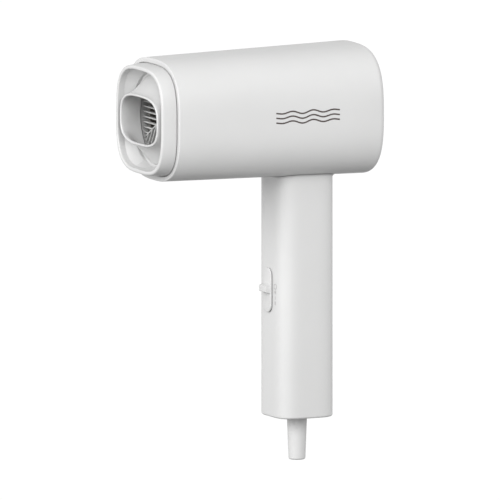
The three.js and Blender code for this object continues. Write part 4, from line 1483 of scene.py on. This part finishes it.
# %% The tree that winds the heating wire
def coil_tree():
    sheet, given = started(
        "Wound coil", floats=("Radius", "Length", "Turns", "Fine radius", "Fine turns", "Wire radius"),
        ints=("Points",),
    )
    row = sheet.add("GeometryNodeMeshLine", named={"Count": given["Points"], "Offset": (0.0, 0.0, 1e-5)})
    share = sheet.over(sheet.add("GeometryNodeInputIndex"), given["Points"])
    wide = sheet.times(sheet.times(share, given["Turns"]), 2 * math.pi)
    fine = sheet.times(sheet.times(share, given["Fine turns"]), 2 * math.pi)
    reach = sheet.plus(given["Radius"], sheet.times(given["Fine radius"], sheet.sum("COSINE", fine)))
    swing = sheet.times(given["Fine radius"], sheet.sum("SINE", fine))
    along = sheet.plus(sheet.times(share, given["Length"]), swing)
    placed = sheet.placed(row, sheet.add(
        "ShaderNodeCombineXYZ", sheet.times(reach, sheet.sum("COSINE", wide)), along,
        sheet.times(reach, sheet.sum("SINE", wide)),
    ))
    wire = sheet.swept(sheet.add("GeometryNodeMeshToCurve", placed), 5, given["Wire radius"])
    return ended(sheet, given, wire)


COIL = coil_tree()
WIRE_RADIUS = 0.22 * MM
FINE_RADIUS = 0.75 * MM
COIL_TURNS = 4.0
FINE_TURNS = 400.0
COIL_POINTS = 4400
for end in ("front", "rear"):
    low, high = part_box(f"heater_coil_{end}")
    margin = FINE_RADIUS + WIRE_RADIUS
    winding = grown(
        "winding", COIL, Length=high.y - low.y - 2 * margin, Radius=high.x - margin, Turns=COIL_TURNS,
        Points=COIL_POINTS, Finish=heating_wire,
        **{"Fine radius": FINE_RADIUS, "Fine turns": FINE_TURNS, "Wire radius": WIRE_RADIUS},
    )
    winding.transform(Matrix.Translation((0.0, low.y + margin, AXIS_Z)))
    piece(f"heating_coil_{end}", winding, "dryer", [f"heater_coil_{end}"], crease=60)

# %% Duct and mica sleeve
duct_low, duct_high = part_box("heater_duct")
mica_low, mica_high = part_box("mica_sleeve")
DUCT_WALL = 1.1 * MM
MICA_WALL = 0.6 * MM
SLOT_LOW = (-5 * MM, -34 * MM, AXIS_Z - 30 * MM)
SLOT_HIGH = (5 * MM, -26 * MM, AXIS_Z - 25 * MM)


def brick(low, high):
    """A plain block between two corners."""
    (left, near, bottom), (right, far, top) = low, high
    block = extruded([(left, near), (right, near), (right, far), (left, far)], top - bottom)
    block.transform(Matrix.Translation((0.0, 0.0, bottom)))
    return block


duct_tube = turned(
    "duct", tube_stops(duct_high.x - DUCT_WALL, duct_high.x, duct_low.y, duct_high.y, 0.3 * MM), inner_nylon,
)
mica_tube = turned(
    "wrap", tube_stops(mica_high.x - MICA_WALL, mica_high.x, mica_low.y, mica_high.y, 0.12 * MM), mica,
)
piece(
    "air_duct", less(duct_tube, brick(SLOT_LOW, SLOT_HIGH)), "dryer", ["heater_duct"],
)
piece("mica_wrap", mica_tube, "dryer", ["mica_sleeve"])

# %% [markdown]
# ## Motor and fan
#
# The motor can, its damper ring and its shaft are turned parts. The fan has eight blades that twist from a
# steep root to a flatter tip. One blade is a thin block whose rows turn as they go outwards, and whose tip
# follows the shroud's round bore; the tree bends it and copies it round the hub.

# %% Shroud, motor, damper and shaft
shroud_low, shroud_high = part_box("fan_shroud")
motor_low, motor_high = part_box("motor_body")
damper_low, damper_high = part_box("motor_damper")
shaft_low, shaft_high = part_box("motor_shaft")
SHROUD_OUTER = 29.6 * MM
SHROUD_INNER = 28.3 * MM
CUP_INNER, CUP_OUTER = 14.3 * MM, 15.8 * MM
CUP_FRONT, CUP_BACK = -14 * MM, 4 * MM
FLANGE_FRONT, FLANGE_BACK = 27 * MM, 29 * MM
FLANGE_NECK = 0.4 * MM
VANE_COUNT = 7
VANE_HALF = 0.7 * MM
VANE_FRONT, VANE_BACK = -12 * MM, -1 * MM
VANE_INTO_CUP, VANE_INTO_SHELL = 0.5 * MM, 0.4 * MM


def shroud_mesh():
    front, back, flange = shroud_low.y, shroud_high.y, shroud_high.x
    sq, soft = BARREL_SQUARE, 0.3 * MM
    neck = SHROUD_OUTER + FLANGE_NECK
    shell = turned("shroud", [
        *arc(SHROUD_INNER + soft, front + soft, soft, 180, 270, 2.0, 4),
        *arc(SHROUD_OUTER - soft, front + soft, soft, -90, 0, 2.0, 4),
        Stop(SHROUD_OUTER, FLANGE_FRONT - FLANGE_NECK), Stop(neck, FLANGE_FRONT),
        Stop(flange - soft, FLANGE_FRONT, sq), Stop(flange, FLANGE_FRONT + soft, sq),
        Stop(flange, FLANGE_BACK - soft, sq), Stop(flange - soft, FLANGE_BACK, sq),
        Stop(neck, FLANGE_BACK), Stop(SHROUD_OUTER + MM, back), Stop(SHROUD_INNER + MM, back),
        Stop(SHROUD_INNER, FLANGE_BACK),
    ], inner_nylon)
    cup = turned("cup", tube_stops(CUP_INNER, CUP_OUTER, CUP_FRONT, CUP_BACK, 0.3 * MM), inner_nylon)
    parts = [shell, cup]
    for k in range(VANE_COUNT):
        vane = brick(
            (-VANE_HALF, VANE_FRONT, CUP_OUTER - VANE_INTO_CUP),
            (VANE_HALF, VANE_BACK, SHROUD_INNER + VANE_INTO_SHELL),
        )
        vane = with_modifiers(vane, ("BEVEL", {"width": 0.3 * MM, "segments": 3}))
        vane.transform(
            Matrix.Translation((0.0, 0.0, AXIS_Z)) @ Matrix.Rotation(2 * math.pi * k / VANE_COUNT, 4, "Y")
        )
        parts.append(vane)
    return joined("shroud", *parts)


piece("shroud_moulding", shroud_mesh(), "dryer", ["fan_shroud"])

MOTOR_BOSS = 4.0 * MM
MOTOR_BOSS_RISE = 1.6 * MM
MOTOR_ROUND = 0.9 * MM
SHAFT_BORE = 1.3 * MM
SHAFT_BORE_END = -16 * MM
CHAMFER = 0.2 * MM
motor_half = motor_high.x
motor_face = motor_high.y - MOTOR_BOSS_RISE
can = disc("can", [
    *arc(motor_half - MOTOR_ROUND, motor_low.y + MOTOR_ROUND, MOTOR_ROUND, -90, 0, 2.0, 6),
    *arc(motor_half - MOTOR_ROUND, motor_face - MOTOR_ROUND, MOTOR_ROUND, 0, 90, 2.0, 6),
    Stop(MOTOR_BOSS, motor_face), Stop(MOTOR_BOSS, motor_high.y - CHAMFER),
    Stop(MOTOR_BOSS - CHAMFER, motor_high.y), Stop(SHAFT_BORE, motor_high.y),
    Stop(SHAFT_BORE, SHAFT_BORE_END),
], motor_steel)
damper = turned(
    "damper", tube_stops(motor_half + FIT_GAP, damper_high.x, damper_low.y, damper_high.y, 0.4 * MM),
    damper_black,
)
shaft = disc("shaft", [
    Stop(shaft_high.x - CHAMFER, shaft_low.y), Stop(shaft_high.x, shaft_low.y + CHAMFER),
    Stop(shaft_high.x, shaft_high.y - CHAMFER), Stop(shaft_high.x - CHAMFER, shaft_high.y),
], plated_steel, sides=48)
piece("motor_can", can, "dryer", ["motor_body"])
piece("motor_damper_ring", damper, "dryer", ["motor_damper"])
piece("motor_shaft_turned", shaft, "fan", ["motor_shaft"])

# %% The tree that twists and copies the blades
def blade_tree():
    sheet, given = started(
        "Twisted blades",
        floats=("Root", "Tip", "Chord", "Thickness", "Root twist", "Tip twist", "Camber"),
        ints=("Blades",),
    )
    block = sheet.add("GeometryNodeMeshCube", named={
        "Size": (1.0, 1.0, 1.0), "Vertices X": 15, "Vertices Y": 3, "Vertices Z": 22,
    })
    point = sheet.add("ShaderNodeSeparateXYZ", sheet.add("GeometryNodeInputPosition")).outputs
    share = sheet.plus(point["Z"], 0.5)
    twist = sheet.add("ShaderNodeMapRange", share, 0.0, 1.0, given["Root twist"], given["Tip twist"])
    edge = sheet.minus(1.0, sheet.times(sheet.power(point["X"], 2.0), 3.0))
    across = sheet.times(point["X"], given["Chord"])
    thick = sheet.times(sheet.times(point["Y"], given["Thickness"]), edge)
    bow = sheet.times(sheet.power(sheet.sum("ABSOLUTE", point["X"]), 2.0), given["Camber"])
    bowed = sheet.plus(thick, bow)
    cosine, sine = sheet.sum("COSINE", twist), sheet.sum("SINE", twist)
    x = sheet.minus(sheet.times(across, cosine), sheet.times(bowed, sine))
    y = sheet.plus(sheet.times(across, sine), sheet.times(bowed, cosine))
    tip = sheet.sum("SQRT", sheet.minus(sheet.power(given["Tip"], 2.0), sheet.power(x, 2.0)))
    out = sheet.plus(given["Root"], sheet.times(share, sheet.minus(tip, given["Root"])))
    bent = sheet.placed(block.outputs["Mesh"], sheet.add("ShaderNodeCombineXYZ", x, y, out))
    angle = sheet.over(sheet.times(sheet.add("GeometryNodeInputIndex"), 2 * math.pi), given["Blades"])
    turn = sheet.add("ShaderNodeCombineXYZ", 0.0, angle, 0.0)
    copies = sheet.add("GeometryNodeInstanceOnPoints", sheet.spots(given["Blades"]), named={
        "Instance": bent, "Rotation": turn,
    })
    return ended(sheet, given, copies)


HUB_RADIUS = 9.0 * MM
HUB_FRONT, HUB_BACK = 11 * MM, 24.6 * MM
HUB_BORE_END = 20 * MM
HUB_EDGE = 0.3 * MM
HUB_ROUND = 4.6 * MM
ROUND_START, STRAIGHT_END = 19.8 * MM, 19.4 * MM
HUB_POLE = 0.02 * MM
BLADE_MIDDLE = 16.5 * MM
BLADE = {
    "Root": 7.0 * MM, "Tip": 27.7 * MM, "Chord": 12.0 * MM, "Thickness": 1.3 * MM, "Camber": 3.0 * MM,
    "Root twist": 0.85, "Tip twist": 0.45, "Blades": 8,
}
blades = grown("blades", blade_tree(), Finish=dark_nylon, **BLADE)
blades.transform(Matrix.Translation((0.0, BLADE_MIDDLE, AXIS_Z)))
hub = turned("hub", [
    Stop(SHAFT_BORE, HUB_FRONT), Stop(HUB_RADIUS - HUB_EDGE, HUB_FRONT),
    Stop(HUB_RADIUS, HUB_FRONT + HUB_EDGE), Stop(HUB_RADIUS, STRAIGHT_END),
    *arc(HUB_RADIUS - HUB_ROUND, ROUND_START, HUB_ROUND, 5, 80, 2.0, 10),
    Stop(HUB_POLE, HUB_BACK), Stop(HUB_POLE, HUB_BORE_END), Stop(SHAFT_BORE, HUB_BORE_END),
], dark_nylon, sides=96)
piece("fan_wheel", joined("fan_wheel", hub, blades), "fan", ["fan_impeller"], crease=40)

# %% [markdown]
# ## Leads
#
# The two mains leads run from the cord to the switch, and the two heater leads run from the switch up to
# the heater. A tree sweeps the insulation along a smooth curve through a few points and rounds off its
# bends.

# %% The tree that sweeps a lead
def lead_tree():
    sheet, given = started("Insulated lead", floats=("Radius",), ints=("Sides",), shape=True)
    path = sheet.add("GeometryNodeMeshToCurve", given["Geometry"])
    smooth = sheet.add("GeometryNodeCurveSplineType", path, spline_type="CATMULL_ROM")
    even = sheet.add("GeometryNodeResampleCurve", smooth, named={"Count": 90})
    tube = sheet.swept(even, given["Sides"], given["Radius"])
    return ended(sheet, given, tube)


LEAD = lead_tree()
LEAD_RADIUS = 0.9 * MM
LEAD_X = 2.2 * MM
LEAD_SIDES = 20
LEAD_ROUTES = {
    "heater_lead": [
        (-1.8, -100), (1.6, -97), (3, -88), (3, -60), (1, -40), (-5, -32.2), (-15, -31.2), (-26, -30.6),
        (-31, -27), (-34.5, -20), (-37.4, -16),
    ],
    "mains_lead": [(-1, -156), (-3, -150), (-7, -138), (-7, -125.4)],
}
for stem, route in LEAD_ROUTES.items():
    for side, sign, finish in (("left", -1, lead_blue), ("right", 1, lead_brown)):
        line_mesh = bpy.data.meshes.new("route")
        line_mesh.from_pydata(
            [(sign * LEAD_X, y * MM, AXIS_Z + z * MM) for y, z in route],
            [(i, i + 1) for i in range(len(route) - 1)], [],
        )
        lead = grown("lead", LEAD, line_mesh, Radius=LEAD_RADIUS, Sides=LEAD_SIDES, Finish=finish)
        piece(
            f"{stem}_{side}_wire", lead, "dryer", [f"{stem}_{side}"],
            crease=60,
        )

# %% [markdown]
# ## Inner parts
#
# The frame of the handle, the clamps, the switch, the boards and the small electrical parts are plain
# shapes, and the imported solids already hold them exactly. Each is taken over as it is, with its flat faces
# merged, and its hard edges are then rounded off as a mould would leave them.

# %% Softened copies of the plain parts
def softened(name, node, finish, soft, body="dryer"):
    """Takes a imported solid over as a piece: flat faces merged, hard edges rounded off."""
    shape = welded(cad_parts[node].data)
    bmesh.ops.dissolve_limit(
        shape, angle_limit=math.radians(0.5), verts=shape.verts, edges=shape.edges, delimit=set(),
    )
    mesh = outward(with_modifiers(meshed(name, shape), bevel(soft, 2, 50)))
    piece(name, finished(mesh, finish), body, [node])


for name, node, finish, slot, soft in (
    ("handle_inner_frame", "handle_frame", inner_nylon, "inner_nylon", 0.2 * MM),
    ("neck_clamp_plate", "neck_clamp", inner_nylon, "inner_nylon", 0.3 * MM),
    ("cord_clamp_bar", "cord_clamp", inner_nylon, "inner_nylon", 0.3 * MM),
    ("switch_case", "switch_body", dark_nylon, "dark_plastic", 0.5 * MM),
    ("film_capacitor", "suppression_capacitor", capacitor_yellow, "capacitor_case", 0.8 * MM),
    ("thermostat_case", "thermostat", dark_nylon, "dark_plastic", 0.4 * MM),
    ("fuse_body", "thermal_fuse", plated_steel, "steel", 0.3 * MM),
    ("rectifier_disc", "rectifier_board", board_green, "circuit_board", 0.15 * MM),
    ("mica_board_flat", "heater_board_flat", mica, "mica", 0.08 * MM),
    ("mica_board_upright", "heater_board_upright", mica, "mica", 0.08 * MM),
):
    softened(name, node, finish, soft)
softened("switch_driver", "switch_actuator", dark_nylon, 0.3 * MM, "switch")
